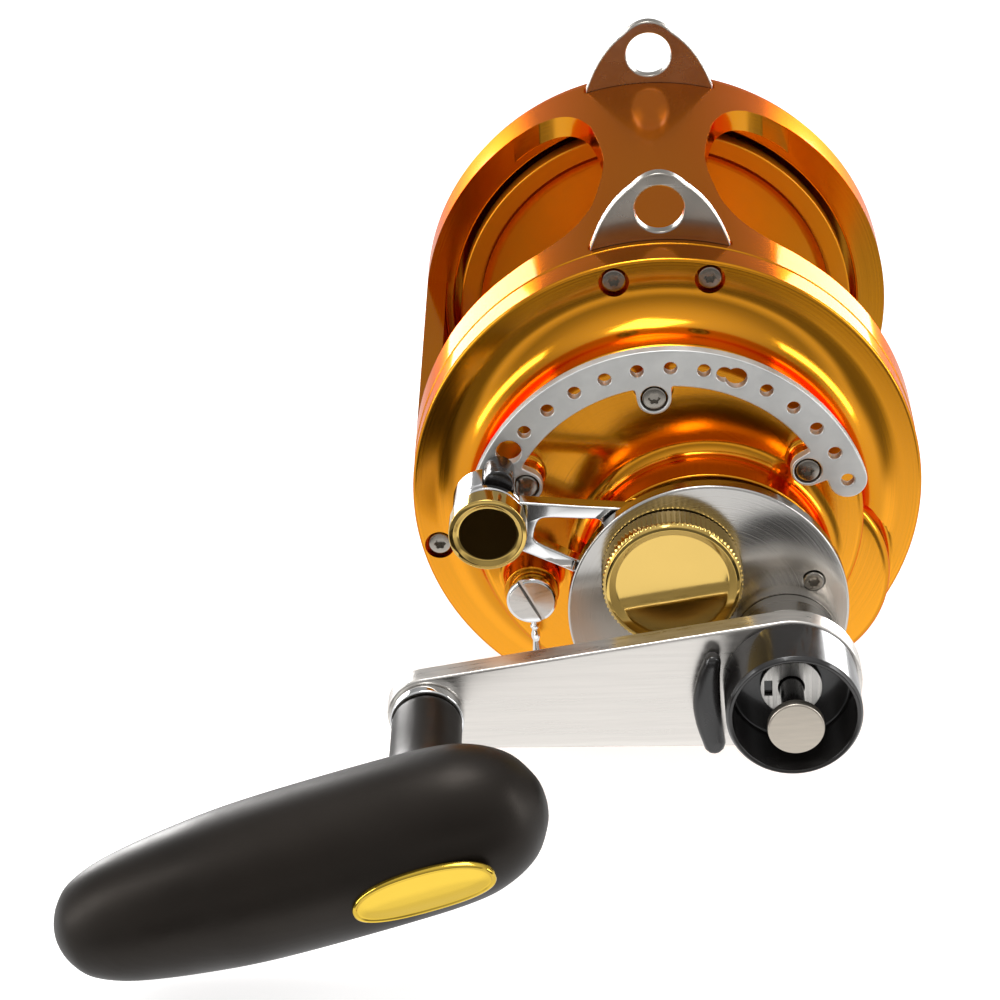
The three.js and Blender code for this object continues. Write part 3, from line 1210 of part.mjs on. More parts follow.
function releaseLever() {
  const back = depth(ARM_FRONT_DEPTH + GAP);
  const front = back - RELEASE_THICKNESS;
  const { pivot, waist, tail } = RELEASE_RADII;
  const upper = slab(stadium(RELEASE_PIVOT, pivot, RELEASE_WAIST, waist, 10), back, front);
  return upper.add(slab(stadium(RELEASE_WAIST, waist, RELEASE_TAIL, tail, 10), back, front));
}

// ---- grip -----------------------------------------------------------------------------------

// radius of the grip along its long axis, measured from the crank pin towards the blunt end
const GRIP_PROFILE = [
  [-88, 0], [-86.6, 6.4], [-81, 11.6], [-72, 14.4], [-56, 17], [-38, 18.4], [-10, GRIP_RADIUS],
  [8, 18], [17, 16], [24, 12], [28, 6.4], [29.4, 0],
];

function grip() {
  const barrel = turned(GRIP_PROFILE.map(([along, radius]) => [radius, along]), 22);
  const laid = barrel.rotate([0, 0, -90]).rotate([0, -GRIP_DROOP, 0]);
  let body = moved(laid, GRIP.x, depth(GRIP_AXIS_DEPTH), GRIP.z);
  const neck = [
    [0, depth(GRIP_AXIS_DEPTH)],
    [12, depth(GRIP_AXIS_DEPTH)],
    [11, depth(GRIP_AXIS_DEPTH - 14)],
    [GRIP_NECK_RADIUS + 0.6, depth(GRIP_AXIS_DEPTH - 20)],
    [GRIP_NECK_RADIUS, depth(GRIP_AXIS_DEPTH - 26)],
    [GRIP_NECK_RADIUS, depth(GRIP_COLLAR_FRONT + GAP)],
    [0, depth(GRIP_COLLAR_FRONT + GAP)],
  ];
  body = body.add(turned(neck, 18, GRIP.x, GRIP.z));
  const [boreBack, boreFront] = [depth(ARM_FRONT_DEPTH), depth(GRIP_PIN_FRONT + RUN_GAP)];
  return body.subtract(drum(GRIP_PIN_RADIUS + RUN_GAP, boreBack, boreFront, GRIP.x, GRIP.z, 20));
}

const GRIP_COLLAR_FRONT = ARM_FRONT_DEPTH + GAP + 3.2;
const GRIP_PIN_FRONT = GRIP_AXIS_DEPTH - 4;

function gripCollar() {
  const inner = GRIP_PIN_RADIUS + RUN_GAP;
  const [back, front] = [depth(ARM_FRONT_DEPTH + GAP), depth(GRIP_COLLAR_FRONT)];
  return tube(GRIP_NECK_RADIUS + 0.4, inner, back, front, GRIP.x, GRIP.z, 24);
}

function gripPin() {
  return drum(GRIP_PIN_RADIUS, depth(ARM_BACK_DEPTH + 0.5), depth(GRIP_PIN_FRONT), GRIP.x, GRIP.z, 20);
}

const BADGE_HALF_LENGTH = 16.6;
const BADGE_HALF_WIDTH = 6.3;
const BADGE_THICKNESS = 1.2;
const BADGE_RIM = 0.3; // height of the raised rim
const BADGE_EDGE = 1; // width of the raised rim
const BADGE_TILT = 12; // degrees below level that the badge faces

function gripBadge() {
  const shape = new THREE.Shape();
  shape.absellipse(0, 0, BADGE_HALF_LENGTH, BADGE_HALF_WIDTH, 0, 2 * Math.PI, false, 0);
  const rim = new THREE.Shape();
  const [a, b] = [BADGE_HALF_LENGTH - BADGE_EDGE, BADGE_HALF_WIDTH - BADGE_EDGE];
  rim.absellipse(0, 0, a, b, 0, 2 * Math.PI, false, 0);
  const face = GRIP_RADIUS + GAP;
  let plate = slab(shape, -face, -face - BADGE_THICKNESS, 10);
  plate = plate.subtract(slab(rim, -face - BADGE_THICKNESS + BADGE_RIM, -face - 2 * BADGE_THICKNESS, 10));
  const tilted = plate.rotate([BADGE_TILT, 0, 0]).rotate([0, -GRIP_DROOP, 0]);
  return moved(tilted, GRIP.x, depth(GRIP_AXIS_DEPTH), GRIP.z);
}

// ---- assembly -------------------------------------------------------------------------------

addPart('frame', frame(), goldAnodise);
addPart('reel_foot', reelFoot(), stainless);
addPart('foot_screw_rear', footScrew(-FOOT_SCREW_X), stainless);
addPart('foot_screw_front', footScrew(FOOT_SCREW_X), stainless);
addPart('harness_lug_right', harnessLug(-1), stainless);
addPart('harness_lug_left', harnessLug(1), stainless);
addPart('right_side_plate', rightSidePlate(), goldAnodise);
addPart('left_side_plate', leftSidePlate(), goldAnodise);
PLATE_SCREW_ANGLES.forEach((angle, i) => {
  const at = polar(PLATE_SCREW_CIRCLE, angle);
  const screw = socketScrew(at.x, at.z, PLATE_SCREW_Y, PLATE_SCREW_LENGTH);
  addPart(`right_plate_screw_${i + 1}`, screw, stainless);
});
LEFT_SCREW_ANGLES.forEach((angle, i) => {
  const at = polar(LEFT_SCREW_CIRCLE, angle);
  const screw = socketScrew(at.x, at.z, LEFT_FACE_Y - LEFT_SCREW_SUNK, LEFT_SCREW_LENGTH, 1);
  addPart(`left_plate_screw_${i + 1}`, screw, stainless);
});

addPart('spool', spool(), goldAnodise);
addPart('drag_washer', dragWasher(), carbon);
for (const [side, name] of [[-1, 'spool_bearing_right'], [1, 'spool_bearing_left']]) {
  const middle = side * (SPOOL_FLANGE_BACK_Y - SPOOL_BEARING_INSET);
  const [back, front] = [middle + SPOOL_BEARING_WIDTH / 2, middle - SPOOL_BEARING_WIDTH / 2];
  addPart(name, ballBearing(SPOOL_BORE_RADIUS - GAP, SPINDLE_RADIUS + GAP, back, front), stainless);
}
addPart('click_ratchet', clickRatchet(), bronze);
addPart('spindle', spindle(), stainless);
const leftBearingY = LEFT_FACE_Y - 1;
addPart(
  'left_plate_bearing',
  ballBearing(LEFT_BEARING_RADIUS, SPINDLE_RADIUS + GAP, leftBearingY + 2, leftBearingY - 3),
  stainless,
);

const sleeveEnd = depth(HOUSING_DEPTH - PLATE_WALL) + 0.9;
addPart('drive_sleeve', tube(SLEEVE_RADIUS, SPINDLE_BORE, DRAG_PLATE_BACK_Y, sleeveEnd, 0, 0, 24), stainless);
addPart('pressure_plate', pressurePlate(), stainless);
addPart('high_speed_pinion', pinion(HIGH_PINION_TEETH, HIGH_GEAR_BACK_Y), stainless);
addPart('low_speed_pinion', pinion(LOW_PINION_TEETH, LOW_GEAR_BACK_Y), stainless);
addPart(
  'sleeve_bearing',
  ballBearing(SLEEVE_BEARING_RADIUS, SLEEVE_RADIUS + GAP, sleeveEnd + 4.6, sleeveEnd + 0.6),
  stainless,
);
addPart('high_speed_gear', mainGear(HIGH_GEAR_TEETH, HIGH_GEAR_BACK_Y), bronze);
addPart('low_speed_gear', mainGear(LOW_GEAR_TEETH, LOW_GEAR_BACK_Y), bronze);
addPart('anti_reverse_ratchet', antiReverseRatchet(), stainless);
addPart('anti_reverse_pawl', antiReversePawl(), stainless);

addPart('drag_quadrant', dragQuadrant(), satinSteel);
QUADRANT_SCREW_ANGLES.forEach((angle, i) => {
  const at = polar(QUADRANT_SCREW_CIRCLE, angle);
  const front = depth(QUADRANT_FRONT_DEPTH - QUADRANT_HEAD_SUNK);
  const head = { length: QUADRANT_HEAD_LENGTH };
  const screw = socketScrew(at.x, at.z, front, QUADRANT_SCREW_LENGTH, -1, head);
  addPart(`quadrant_screw_${i + 1}`, screw, stainless);
});
addPart('drag_lever', dragLever(), chrome);
addPart('drag_cam', dragCam(), stainless);
addPart('lever_button', leverButton(), goldPlate);
addPart('detent_plunger', detentPlunger(), blackGloss);

addPart('gear_cover', gearCover(), stainless);
COVER_SCREW_ANGLES.forEach((angle, i) => {
  const at = polar(COVER_SCREW_CIRCLE, angle);
  const [x, z] = [COVER_CENTRE.x + at.x, COVER_CENTRE.z + at.z];
  const front = depth(COVER_BACK_DEPTH + COVER_SEAT + GAP + HEAD_LENGTH);
  const screw = socketScrew(x, z, front, COVER_SCREW_LENGTH, -1, { radius: COVER_HEAD_RADIUS });
  addPart(`gear_cover_screw_${i + 1}`, screw, stainless);
});
addPart('preset_knob', presetKnob(), goldPlate);
addPart('clicker_lever', clickerLever(), chrome);
addPart('clicker_pivot_screw', clickerPivotScrew(), chrome);

addPart('crank_shaft', crankShaft(), stainless);
addPart('crank_bushing', crankBushing(), bronze);
addPart('crank_collar', crankCollar(), stainless);
addPart('crank_arm', crankArm(), satinSteel);
addPart('shift_button_guard', shiftCup(), blackGloss);
addPart('shift_washer', shiftWasher(), stainless);
addPart('low_speed_button', shiftButton(), satinSteel);
addPart('button_stem', shiftStem(), blackGloss);
addPart('release_lever', releaseLever(), blackGloss);
addPart('grip', grip(), gripRubber);
addPart('grip_collar', gripCollar(), stainless);
addPart('grip_pin', gripPin(), stainless);
addPart('grip_badge', gripBadge(), goldPlate);

export default group;
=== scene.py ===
import json
import math

import bmesh
import bpy
from mathutils import Matrix, Vector

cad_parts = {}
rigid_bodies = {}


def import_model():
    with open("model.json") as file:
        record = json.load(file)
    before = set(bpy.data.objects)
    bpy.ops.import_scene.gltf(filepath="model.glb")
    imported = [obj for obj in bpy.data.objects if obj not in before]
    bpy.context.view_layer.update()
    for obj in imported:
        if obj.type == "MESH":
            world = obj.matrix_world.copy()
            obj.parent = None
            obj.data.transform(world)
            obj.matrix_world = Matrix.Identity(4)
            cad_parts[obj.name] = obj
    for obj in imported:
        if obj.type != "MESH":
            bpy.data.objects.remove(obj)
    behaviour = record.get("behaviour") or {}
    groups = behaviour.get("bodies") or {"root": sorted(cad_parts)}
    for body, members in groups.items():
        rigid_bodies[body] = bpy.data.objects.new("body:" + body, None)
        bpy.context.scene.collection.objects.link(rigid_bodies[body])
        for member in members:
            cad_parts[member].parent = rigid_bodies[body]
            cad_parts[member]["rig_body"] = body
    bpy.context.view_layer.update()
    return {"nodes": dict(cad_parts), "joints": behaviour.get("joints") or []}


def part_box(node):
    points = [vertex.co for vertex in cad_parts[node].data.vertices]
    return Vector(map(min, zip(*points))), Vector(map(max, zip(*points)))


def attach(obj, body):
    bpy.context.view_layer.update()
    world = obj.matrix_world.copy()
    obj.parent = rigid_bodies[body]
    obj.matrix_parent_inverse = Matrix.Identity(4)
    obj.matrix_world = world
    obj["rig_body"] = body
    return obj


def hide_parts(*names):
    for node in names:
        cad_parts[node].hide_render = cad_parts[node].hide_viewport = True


# Looks of a two-speed lever-drag trolling reel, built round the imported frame.
# Shapes are drawn in millimetres about the spool axis (x forwards, y along the reel away from the crank,
# z up) and turned into metres in the row frame when a piece is made.

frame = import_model()

# ---- places and sizes taken from the frame -------------------------------------------------------------

MM = 0.001
JOINTS = {joint["name"]: joint for joint in frame["joints"]}
AXIS_Z = JOINTS["spool_spin"]["pos_m"][2] / MM


def joint_place(name):
    """(x, z) of a hinge that lies along the reel, in millimetres about the spool axis."""
    x, _, z = JOINTS[name]["pos_m"]
    return x / MM, z / MM - AXIS_Z


class Extent:
    """A CAD node's box at rest, in millimetres about the spool axis. Front is the crank side."""

    def __init__(self, node):
        low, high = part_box(node)
        self.left, self.right = low.x / MM, high.x / MM
        self.front, self.back = low.y / MM, high.y / MM
        self.low, self.high = low.z / MM - AXIS_Z, high.z / MM - AXIS_Z
        self.x, self.z = (self.left + self.right) / 2, (self.low + self.high) / 2
        self.radius = (self.right - self.left) / 2
        self.centre = (self.x, self.z)


GAP = 0.3  # clearance that touching pieces keep
RING = Extent("frame")
SPOOL = Extent("spool")
LEFT = Extent("left_side_plate")
QUADRANT = Extent("drag_quadrant")
BUTTON_CAP = Extent("lever_button")
PLUNGER = Extent("detent_plunger")
COVER = Extent("gear_cover")
KNOB = Extent("preset_knob")
PIVOT_SCREW = Extent("clicker_pivot_screw")
CLICKER = Extent("clicker_lever")
COLLAR = Extent("crank_collar")
ARM = Extent("crank_arm")
CUP = Extent("shift_button_guard")
WASHER = Extent("shift_washer")
PUSH = Extent("low_speed_button")
STEM = Extent("button_stem")
RELEASE = Extent("release_lever")
GRIP_RING = Extent("grip_collar")
PIN = Extent("grip_pin")

CRANK = joint_place("crank_turn")
GRIP = joint_place("grip_spin")
POST = joint_place("clicker_flip")
BARREL = BUTTON_CAP.centre

RING_RADIUS = RING.radius
RING_INNER = RING_RADIUS - 7.8
FRAME_WALL = 5.2
RING_FACE = 44.1
PLATE_THICKNESS = 9
FACE_Y = RING.front - GAP - PLATE_THICKNESS
PLATE_BACK = FACE_Y + PLATE_THICKNESS
BOSS_RADIUS = 47.5
BOSS_DEPTH = 16
BOSS_FILLET = 10
HOUSING_RADIUS = 30.6
HOUSING_DEPTH = 30.2
BULGE_RADIUS = 27.7
BULGE_DEPTH = 10
POST_DEPTH = 25.4
QUADRANT_POST_DEPTH = 20.1
WALL = 3
DETENT_CIRCLE = 45.1
QUADRANT_SCREW_CIRCLE = 37.3
QUADRANT_SCREW_ANGLES = (-66.7, -4.5, 63.6)
GRIP_AXIS_Y = FACE_Y - 110
GRIP_DROOP = math.radians(16.6)
PLATE_POCKET_GAP = 0.8  # round the head of a right side plate screw
POCKET_GAP = 0.4  # round the other heads


def depth(distance):
    """Y of a plane that stands forward of the right side plate's flat face."""
    return FACE_Y - distance


def polar(radius, degrees):
    """(x, z) at an angle from straight up, turning forwards."""
    turn = math.radians(degrees)
    return radius * math.sin(turn), radius * math.cos(turn)


# ---- outlines ------------------------------------------------------------------------------------------


def soften(points, radius, closed=True, steps=4):
    """Rounds the corners of a line of (a, b) points; a third number is that corner's own radius."""
    out = []
    points = [p for i, p in enumerate(points) if math.dist(p[:2], points[i - 1][:2]) > 1e-6]
    for i, point in enumerate(points):
        here = Vector(point[:2])
        size = point[2] if len(point) > 2 else radius
        if size == 0 or (not closed and i in (0, len(points) - 1)):
            out.append(tuple(here))
            continue
        before = Vector(points[i - 1][:2]) - here
        after = Vector(points[(i + 1) % len(points)][:2]) - here
        angle = before.angle(after)
        if angle > math.radians(174):
            out.append(tuple(here))
            continue
        reach = min(size / math.tan(angle / 2), 0.47 * before.length, 0.47 * after.length)
        arc = reach * math.tan(angle / 2)
        u, v = before.normalized(), after.normalized()
        centre = here + (u + v).normalized() * (arc / math.sin(angle / 2))
        start = here + u * reach - centre
        end = here + v * reach - centre
        sweep = start.angle_signed(end)
        for k in range(steps + 1):
            turned = start.copy()
            turned.rotate(Matrix.Rotation(-sweep * k / steps, 2))
            out.append(tuple(centre + turned))
    return out


def circle(x, z, radius, steps=40):
    turns = [2 * math.pi * k / steps for k in range(steps)]
    return [(x + radius * math.cos(t), z + radius * math.sin(t)) for t in turns]


def stadium(a, radius_a, b, radius_b, steps=24):
    """The outline round two circles of different radius."""
    run = math.atan2(b[1] - a[1], b[0] - a[0])
    spread = math.acos((radius_a - radius_b) / math.dist(a, b))
    points = []
    for k in range(steps + 1):
        turn = run + spread + (2 * math.pi - 2 * spread) * k / steps
        points.append((a[0] + radius_a * math.cos(turn), a[1] + radius_a * math.sin(turn)))
    for k in range(steps + 1):
        turn = run - spread + 2 * spread * k / steps
        points.append((b[0] + radius_b * math.cos(turn), b[1] + radius_b * math.sin(turn)))
    return points


def quadratic(a, control, b, steps=10):
    """Points on a quadratic curve after a, up to and with b."""
    points = []
    for k in range(1, steps + 1):
        t = k / steps
        points.append(tuple(
            (1 - t) ** 2 * p + 2 * t * (1 - t) * q + t * t * r for p, q, r in zip(a, control, b)
        ))
    return points


def smooth_line(points, steps=6):
    """A Catmull-Rom curve through the points."""
    out = []
    for i in range(len(points) - 1):
        p0, p1 = points[max(i - 1, 0)], points[i]
        p2, p3 = points[i + 1], points[min(i + 2, len(points) - 1)]
        for k in range(steps):
            t = k / steps
            out.append(tuple(
                0.5 * (2 * b + (c - a) * t + (2 * a - 5 * b + 4 * c - d) * t * t
                       + (3 * b - a - 3 * c + d) * t ** 3)
                for a, b, c, d in zip(p0, p1, p2, p3)
            ))
    out.append(tuple(points[-1]))
    return out


# ---- meshes, in millimetres about the spool axis -------------------------------------------------------


def to_mesh(bm):
    bmesh.ops.remove_doubles(bm, verts=bm.verts, dist=1e-5)
    bmesh.ops.recalc_face_normals(bm, faces=bm.faces)
    mesh = bpy.data.meshes.new("shape")
    bm.to_mesh(mesh)
    bm.free()
    return mesh


def lathe(profile, centre=(0, 0), segments=144, wave=None):
    """Turns (radius, y) points about a line along Y. wave(angle, index) is added to the radius."""
    bm = bmesh.new()
    rings = []
    for index, (radius, y) in enumerate(profile):
        if radius < 1e-6:
            rings.append([bm.verts.new((centre[0], y, centre[1]))])
            continue
        ring = []
        for k in range(segments):
            turn = 2 * math.pi * k / segments
            r = radius + (wave(turn, index) if wave else 0)
            ring.append(bm.verts.new((centre[0] + r * math.sin(turn), y, centre[1] + r * math.cos(turn))))
        rings.append(ring)
    closed = len(rings[0]) > 1 or len(rings[-1]) > 1
    for i in range(len(rings) - (0 if closed else 1)):
        a, b = rings[i], rings[(i + 1) % len(rings)]
        for k in range(segments):
            n = (k + 1) % segments
            corners = [a[k % len(a)], a[n % len(a)], b[n % len(b)], b[k % len(b)]]
            corners = list(dict.fromkeys(corners))
            if len(corners) > 2:
                bm.faces.new(corners)
    return to_mesh(bm)


def turned(points, centre=(0, 0), soft=0.3, segments=144, wave=None):
    """A lathe piece whose profile corners are rounded."""
    closed = points[0][0] > 1e-6 or points[-1][0] > 1e-6
    return lathe(soften(points, soft, closed), centre, segments, wave)


def drum(radius, back, front, centre=(0, 0), segments=96):
    return lathe([(0, front), (radius, front), (radius, back), (0, back)], centre, segments)


def prism(outline, start, end, along="y"):
    """A straight-sided cutter: the outline lies in X and Z (along y) or in X and Y (along z)."""
    place = (lambda a, b, c: (a, c, b)) if along == "y" else (lambda a, b, c: (a, b, c))
    bm = bmesh.new()
    near = [bm.verts.new(place(a, b, start)) for a, b in outline]
    far = [bm.verts.new(place(a, b, end)) for a, b in outline]
    bm.faces.new(near)
    bm.faces.new(far)
    for i in range(len(outline)):
        n = (i + 1) % len(outline)
        bm.faces.new((near[i], near[n], far[n], far[i]))
    return to_mesh(bm)


def evaluated(obj):
    """The object's mesh with its modifiers applied; the object goes."""
    bpy.context.view_layer.update()
    depsgraph = bpy.context.evaluated_depsgraph_get()
    mesh = bpy.data.meshes.new_from_object(obj.evaluated_get(depsgraph))
    bpy.data.objects.remove(obj)
    return mesh


def temporary(data):
    obj = bpy.data.objects.new("temporary", data)
    bpy.context.scene.collection.objects.link(obj)
    return obj


def slab(outlines, back, front, bevel=0.3, steps=3):
    """A flat piece in X and Z with rounded edges; the first outline is the outside, the rest are holes."""
    curve = bpy.data.curves.new("slab", "CURVE")
    curve.dimensions = "2D"
    curve.fill_mode = "BOTH"
    for outline in outlines:
        spline = curve.splines.new("POLY")
        spline.points.add(len(outline) - 1)
        for point, (a, b) in zip(spline.points, outline):
            point.co = (a, b, 0, 1)
        spline.use_cyclic_u = True
    curve.extrude = (back - front) / 2 - bevel
    curve.bevel_depth = bevel
    curve.bevel_resolution = steps
    curve.offset = -bevel
    mesh = evaluated(temporary(curve))
    mesh.transform(Matrix.Translation((0, (back + front) / 2, 0)) @ Matrix.Rotation(math.pi / 2, 4, "X"))
    bm = bmesh.new()
    bm.from_mesh(mesh)
    return to_mesh(bm)


def joined(meshes):
    bm = bmesh.new()
    for mesh in meshes:
        bm.from_mesh(mesh)
    mesh = bpy.data.meshes.new("joined")
    bm.to_mesh(mesh)
    bm.free()
    return mesh


def boolean(mesh, tools, operation, overlapping=False):
    target, tool = temporary(mesh), temporary(joined(tools))
    modifier = target.modifiers.new("cut", "BOOLEAN")
    modifier.operation = operation
    modifier.solver = "EXACT"
    modifier.object = tool
    modifier.use_self = overlapping
    result = evaluated(target)
    bpy.data.objects.remove(tool)
    return result


def cut(mesh, *tools, overlapping=False):
    return boolean(mesh, tools, "DIFFERENCE", overlapping)


def union(mesh, *tools):
    for tool in tools:
        mesh = boolean(mesh, [tool], "UNION")
    return mesh


# ---- materials -----------------------------------------------------------------------------------------


class Look:
    """A Principled material and the patterns that feed it. Patterns are placed in metres in the row frame."""

    def __init__(self, name, color, metallic, roughness, **settings):
        self.material = bpy.data.materials.new(name)
        self.material.use_nodes = True
        self.nodes = self.material.node_tree.nodes
        self.links = self.material.node_tree.links
        self.shader = self.nodes["Principled BSDF"]
        self.place = self.nodes.new("ShaderNodeTexCoord").outputs["Object"]
        self.shader.inputs["Base Color"].default_value = (*color, 1)
        self.shader.inputs["Metallic"].default_value = metallic
        self.shader.inputs["Roughness"].default_value = roughness
        for socket, value in settings.items():
            self.shader.inputs[socket.replace("_", " ")].default_value = value

    def noise(self, scale, detail=3, stretch=(1, 1, 1)):
        spread = self.nodes.new("ShaderNodeVectorMath")
        spread.operation = "MULTIPLY"
        spread.inputs[1].default_value = stretch
        self.links.new(self.place, spread.inputs[0])
        texture = self.nodes.new("ShaderNodeTexNoise")
        texture.inputs["Scale"].default_value = scale
        texture.inputs["Detail"].default_value = detail
        self.links.new(spread.outputs[0], texture.inputs["Vector"])
        return texture.outputs["Fac"]

    def rings(self, centre, scale, detail=2):
        """Fine rings about a line along Y, as a lathe tool leaves them."""
        shift = self.nodes.new("ShaderNodeVectorMath")
        shift.operation = "SUBTRACT"
        shift.inputs[1].default_value = (centre[0] * MM, 0, (centre[1] + AXIS_Z) * MM)
        self.links.new(self.place, shift.inputs[0])
        flat = self.nodes.new("ShaderNodeVectorMath")
        flat.operation = "MULTIPLY"
        flat.inputs[1].default_value = (1, 0, 1)
        self.links.new(shift.outputs[0], flat.inputs[0])
        length = self.nodes.new("ShaderNodeVectorMath")
        length.operation = "LENGTH"
        self.links.new(flat.outputs[0], length.inputs[0])
        texture = self.nodes.new("ShaderNodeTexNoise")
        texture.noise_dimensions = "1D"
        texture.inputs["Scale"].default_value = scale
        texture.inputs["Detail"].default_value = detail
        self.links.new(length.outputs["Value"], texture.inputs["W"])
        return texture.outputs["Fac"]

    def between(self, value, low, high, socket):
        """Feeds a socket with a number that runs from low to high with the pattern."""
        spread = self.nodes.new("ShaderNodeMapRange")
        spread.inputs["From Min"].default_value = 0.3
        spread.inputs["From Max"].default_value = 0.7
        spread.inputs["To Min"].default_value = low
        spread.inputs["To Max"].default_value = high
        self.links.new(value, spread.inputs["Value"])
        self.links.new(spread.outputs["Result"], self.shader.inputs[socket])
        return self

    def colours(self, value, low, high, start=0.35, end=0.65):
        ramp = self.nodes.new("ShaderNodeValToRGB")
        ramp.color_ramp.elements[0].position = start
        ramp.color_ramp.elements[0].color = (*low, 1)
        ramp.color_ramp.elements[1].position = end
        ramp.color_ramp.elements[1].color = (*high, 1)
        self.links.new(value, ramp.inputs["Fac"])
        self.links.new(ramp.outputs["Color"], self.shader.inputs["Base Color"])
        return self

    def bump(self, value, height, strength=1.0):
        """Raises the surface by the pattern; height is in millimetres."""
        node = self.nodes.new("ShaderNodeBump")
        node.inputs["Strength"].default_value = strength
        node.inputs["Distance"].default_value = height * MM
        if self.shader.inputs["Normal"].is_linked:
            self.links.new(self.shader.inputs["Normal"].links[0].from_socket, node.inputs["Normal"])
        self.links.new(value, node.inputs["Height"])
        self.links.new(node.outputs["Normal"], self.shader.inputs["Normal"])
        return self


def gold_anodise(name, centre=(0, 0), roughness=(0.13, 0.2)):
    look = Look(name, (0.74, 0.275, 0.012), 1.0, roughness[0], Specular_Tint=(1, 0.3, 0.05, 1),
                Coat_Weight=0.22, Coat_Roughness=0.06, Coat_IOR=1.5)
    look.colours(look.noise(9, 2), (0.74, 0.285, 0.010), (0.80, 0.325, 0.015))
    look.between(look.rings(centre, 2600), *roughness, "Roughness")
    return look.bump(look.rings(centre, 3800), 0.003).material


def brushed_steel(name, stretch=(60, 60, 1.5), color=(0.60, 0.58, 0.55), roughness=(0.2, 0.36), height=0.006):
    look = Look(name, color, 1.0, roughness[0])
    dark = tuple(c * 0.86 for c in color)
    grain = look.noise(30, 4, stretch)
    look.colours(grain, dark, color)
    look.between(grain, *roughness, "Roughness")
    return look.bump(grain, height).material


def turned_steel(name, centre, color=(0.66, 0.64, 0.61), roughness=(0.14, 0.26)):
    look = Look(name, color, 1.0, roughness[0], Anisotropic=0.5)
    marks = look.rings(centre, 3200, 2)
    look.colours(marks, tuple(c * 0.9 for c in color), color)
    look.between(marks, *roughness, "Roughness")
    tangent = look.nodes.new("ShaderNodeTangent")
    tangent.direction_type = "RADIAL"
    tangent.axis = "Y"
    look.links.new(tangent.outputs[0], look.shader.inputs["Tangent"])
    return look.bump(marks, 0.0015).material


def polished(name, color, roughness=(0.04, 0.1)):
    look = Look(name, color, 1.0, roughness[0])
    smudge = look.noise(55, 5)
    look.colours(smudge, tuple(c * 0.94 for c in color), color)
    return look.between(smudge, *roughness, "Roughness").material


def black_gloss(name):
    look = Look(name, (0.011, 0.010, 0.010), 0.0, 0.2, Coat_Weight=0.4, Coat_Roughness=0.08)
    grain = look.noise(700, 3)
    look.colours(look.noise(40, 4), (0.008, 0.007, 0.007), (0.016, 0.014, 0.013))
    look.between(look.noise(90, 4), 0.16, 0.3, "Roughness")
    return look.bump(grain, 0.01, 0.5).material


def grip_rubber(name):
    look = Look(name, (0.006, 0.005, 0.004), 0.0, 0.4,
                Specular_IOR_Level=0.3, Specular_Tint=(1, 0.88, 0.78, 1))
    look.colours(look.noise(25, 5), (0.0042, 0.0032, 0.0025), (0.008, 0.006, 0.0046))
    look.between(look.noise(60, 5), 0.34, 0.48, "Roughness")
    look.bump(look.noise(2600, 2), 0.03, 0.35)
    return look.bump(look.noise(420, 3), 0.03, 0.25).material


def bronze(name):
    look = Look(name, (0.62, 0.42, 0.18), 1.0, 0.3)
    look.colours(look.noise(80, 4), (0.50, 0.32, 0.13), (0.68, 0.47, 0.2))
    return look.between(look.noise(500, 3), 0.24, 0.42, "Roughness").material


def carbon_weave(name):
    look = Look(name, (0.03, 0.03, 0.032), 0.0, 0.45)
    weave = look.nodes.new("ShaderNodeTexChecker")
    weave.inputs["Scale"].default_value = 700
    look.links.new(look.place, weave.inputs["Vector"])
    look.colours(weave.outputs["Fac"], (0.018, 0.018, 0.02), (0.05, 0.05, 0.053), 0.1, 0.9)
    return look.bump(weave.outputs["Fac"], 0.05, 0.6).material


GOLD = gold_anodise("gold_anodise")
GOLD_BAR = gold_anodise("gold_anodise_frame")
GOLD_SPOOL = gold_anodise("gold_anodise_spool", roughness=(0.42, 0.5))
STEEL = brushed_steel("brushed_stainless")
LUG_STEEL = brushed_steel("lug_steel", (3, 4, 4), (0.50, 0.46, 0.41), (0.24, 0.3), 0.0005)
SCREW_STEEL = polished("screw_steel", (0.36, 0.33, 0.29), (0.2, 0.3))
COVER_STEEL = turned_steel("cover_steel", COVER.centre)
QUADRANT_STEEL = brushed_steel("quadrant_steel", (5, 5, 5), (0.80, 0.80, 0.78), (0.44, 0.56), 0.003)
ARM_STEEL = brushed_steel("arm_steel", (1.2, 30, 30), (0.88, 0.84, 0.79), (0.26, 0.34), 0.001)
BUTTON_STEEL = brushed_steel("button_steel", (4, 30, 30), (0.60, 0.54, 0.46), (0.3, 0.38), 0.002)
COLLAR_STEEL = turned_steel("collar_steel", CRANK, (0.52, 0.49, 0.45), (0.2, 0.32))
CHROME = polished("chrome", (0.80, 0.80, 0.80))
GOLD_PLATE = polished("gold_plate", (0.66, 0.45, 0.13), (0.05, 0.11))
BADGE_GOLD = polished("badge_gold", (0.78, 0.53, 0.07), (0.06, 0.12))
BLACK = black_gloss("black_gloss")
RUBBER = grip_rubber("grip_rubber")
BRONZE = bronze("bronze")
CARBON = carbon_weave("carbon_lining")

# ---- pieces --------------------------------------------------------------------------------------------


def smoothed(mesh, angle=32):
    for polygon in mesh.polygons:
        polygon.use_smooth = True
    mesh.set_sharp_from_angle(angle=math.radians(angle))


def bevelled(obj, width, segments=2, angle=40):
    modifier = obj.modifiers.new("edges", "BEVEL")
    modifier.width = width * MM
    modifier.segments = segments
    modifier.limit_method = "ANGLE"
    modifier.angle_limit = math.radians(angle)
    modifier.use_clamp_overlap = True
    modifier.harden_normals = False


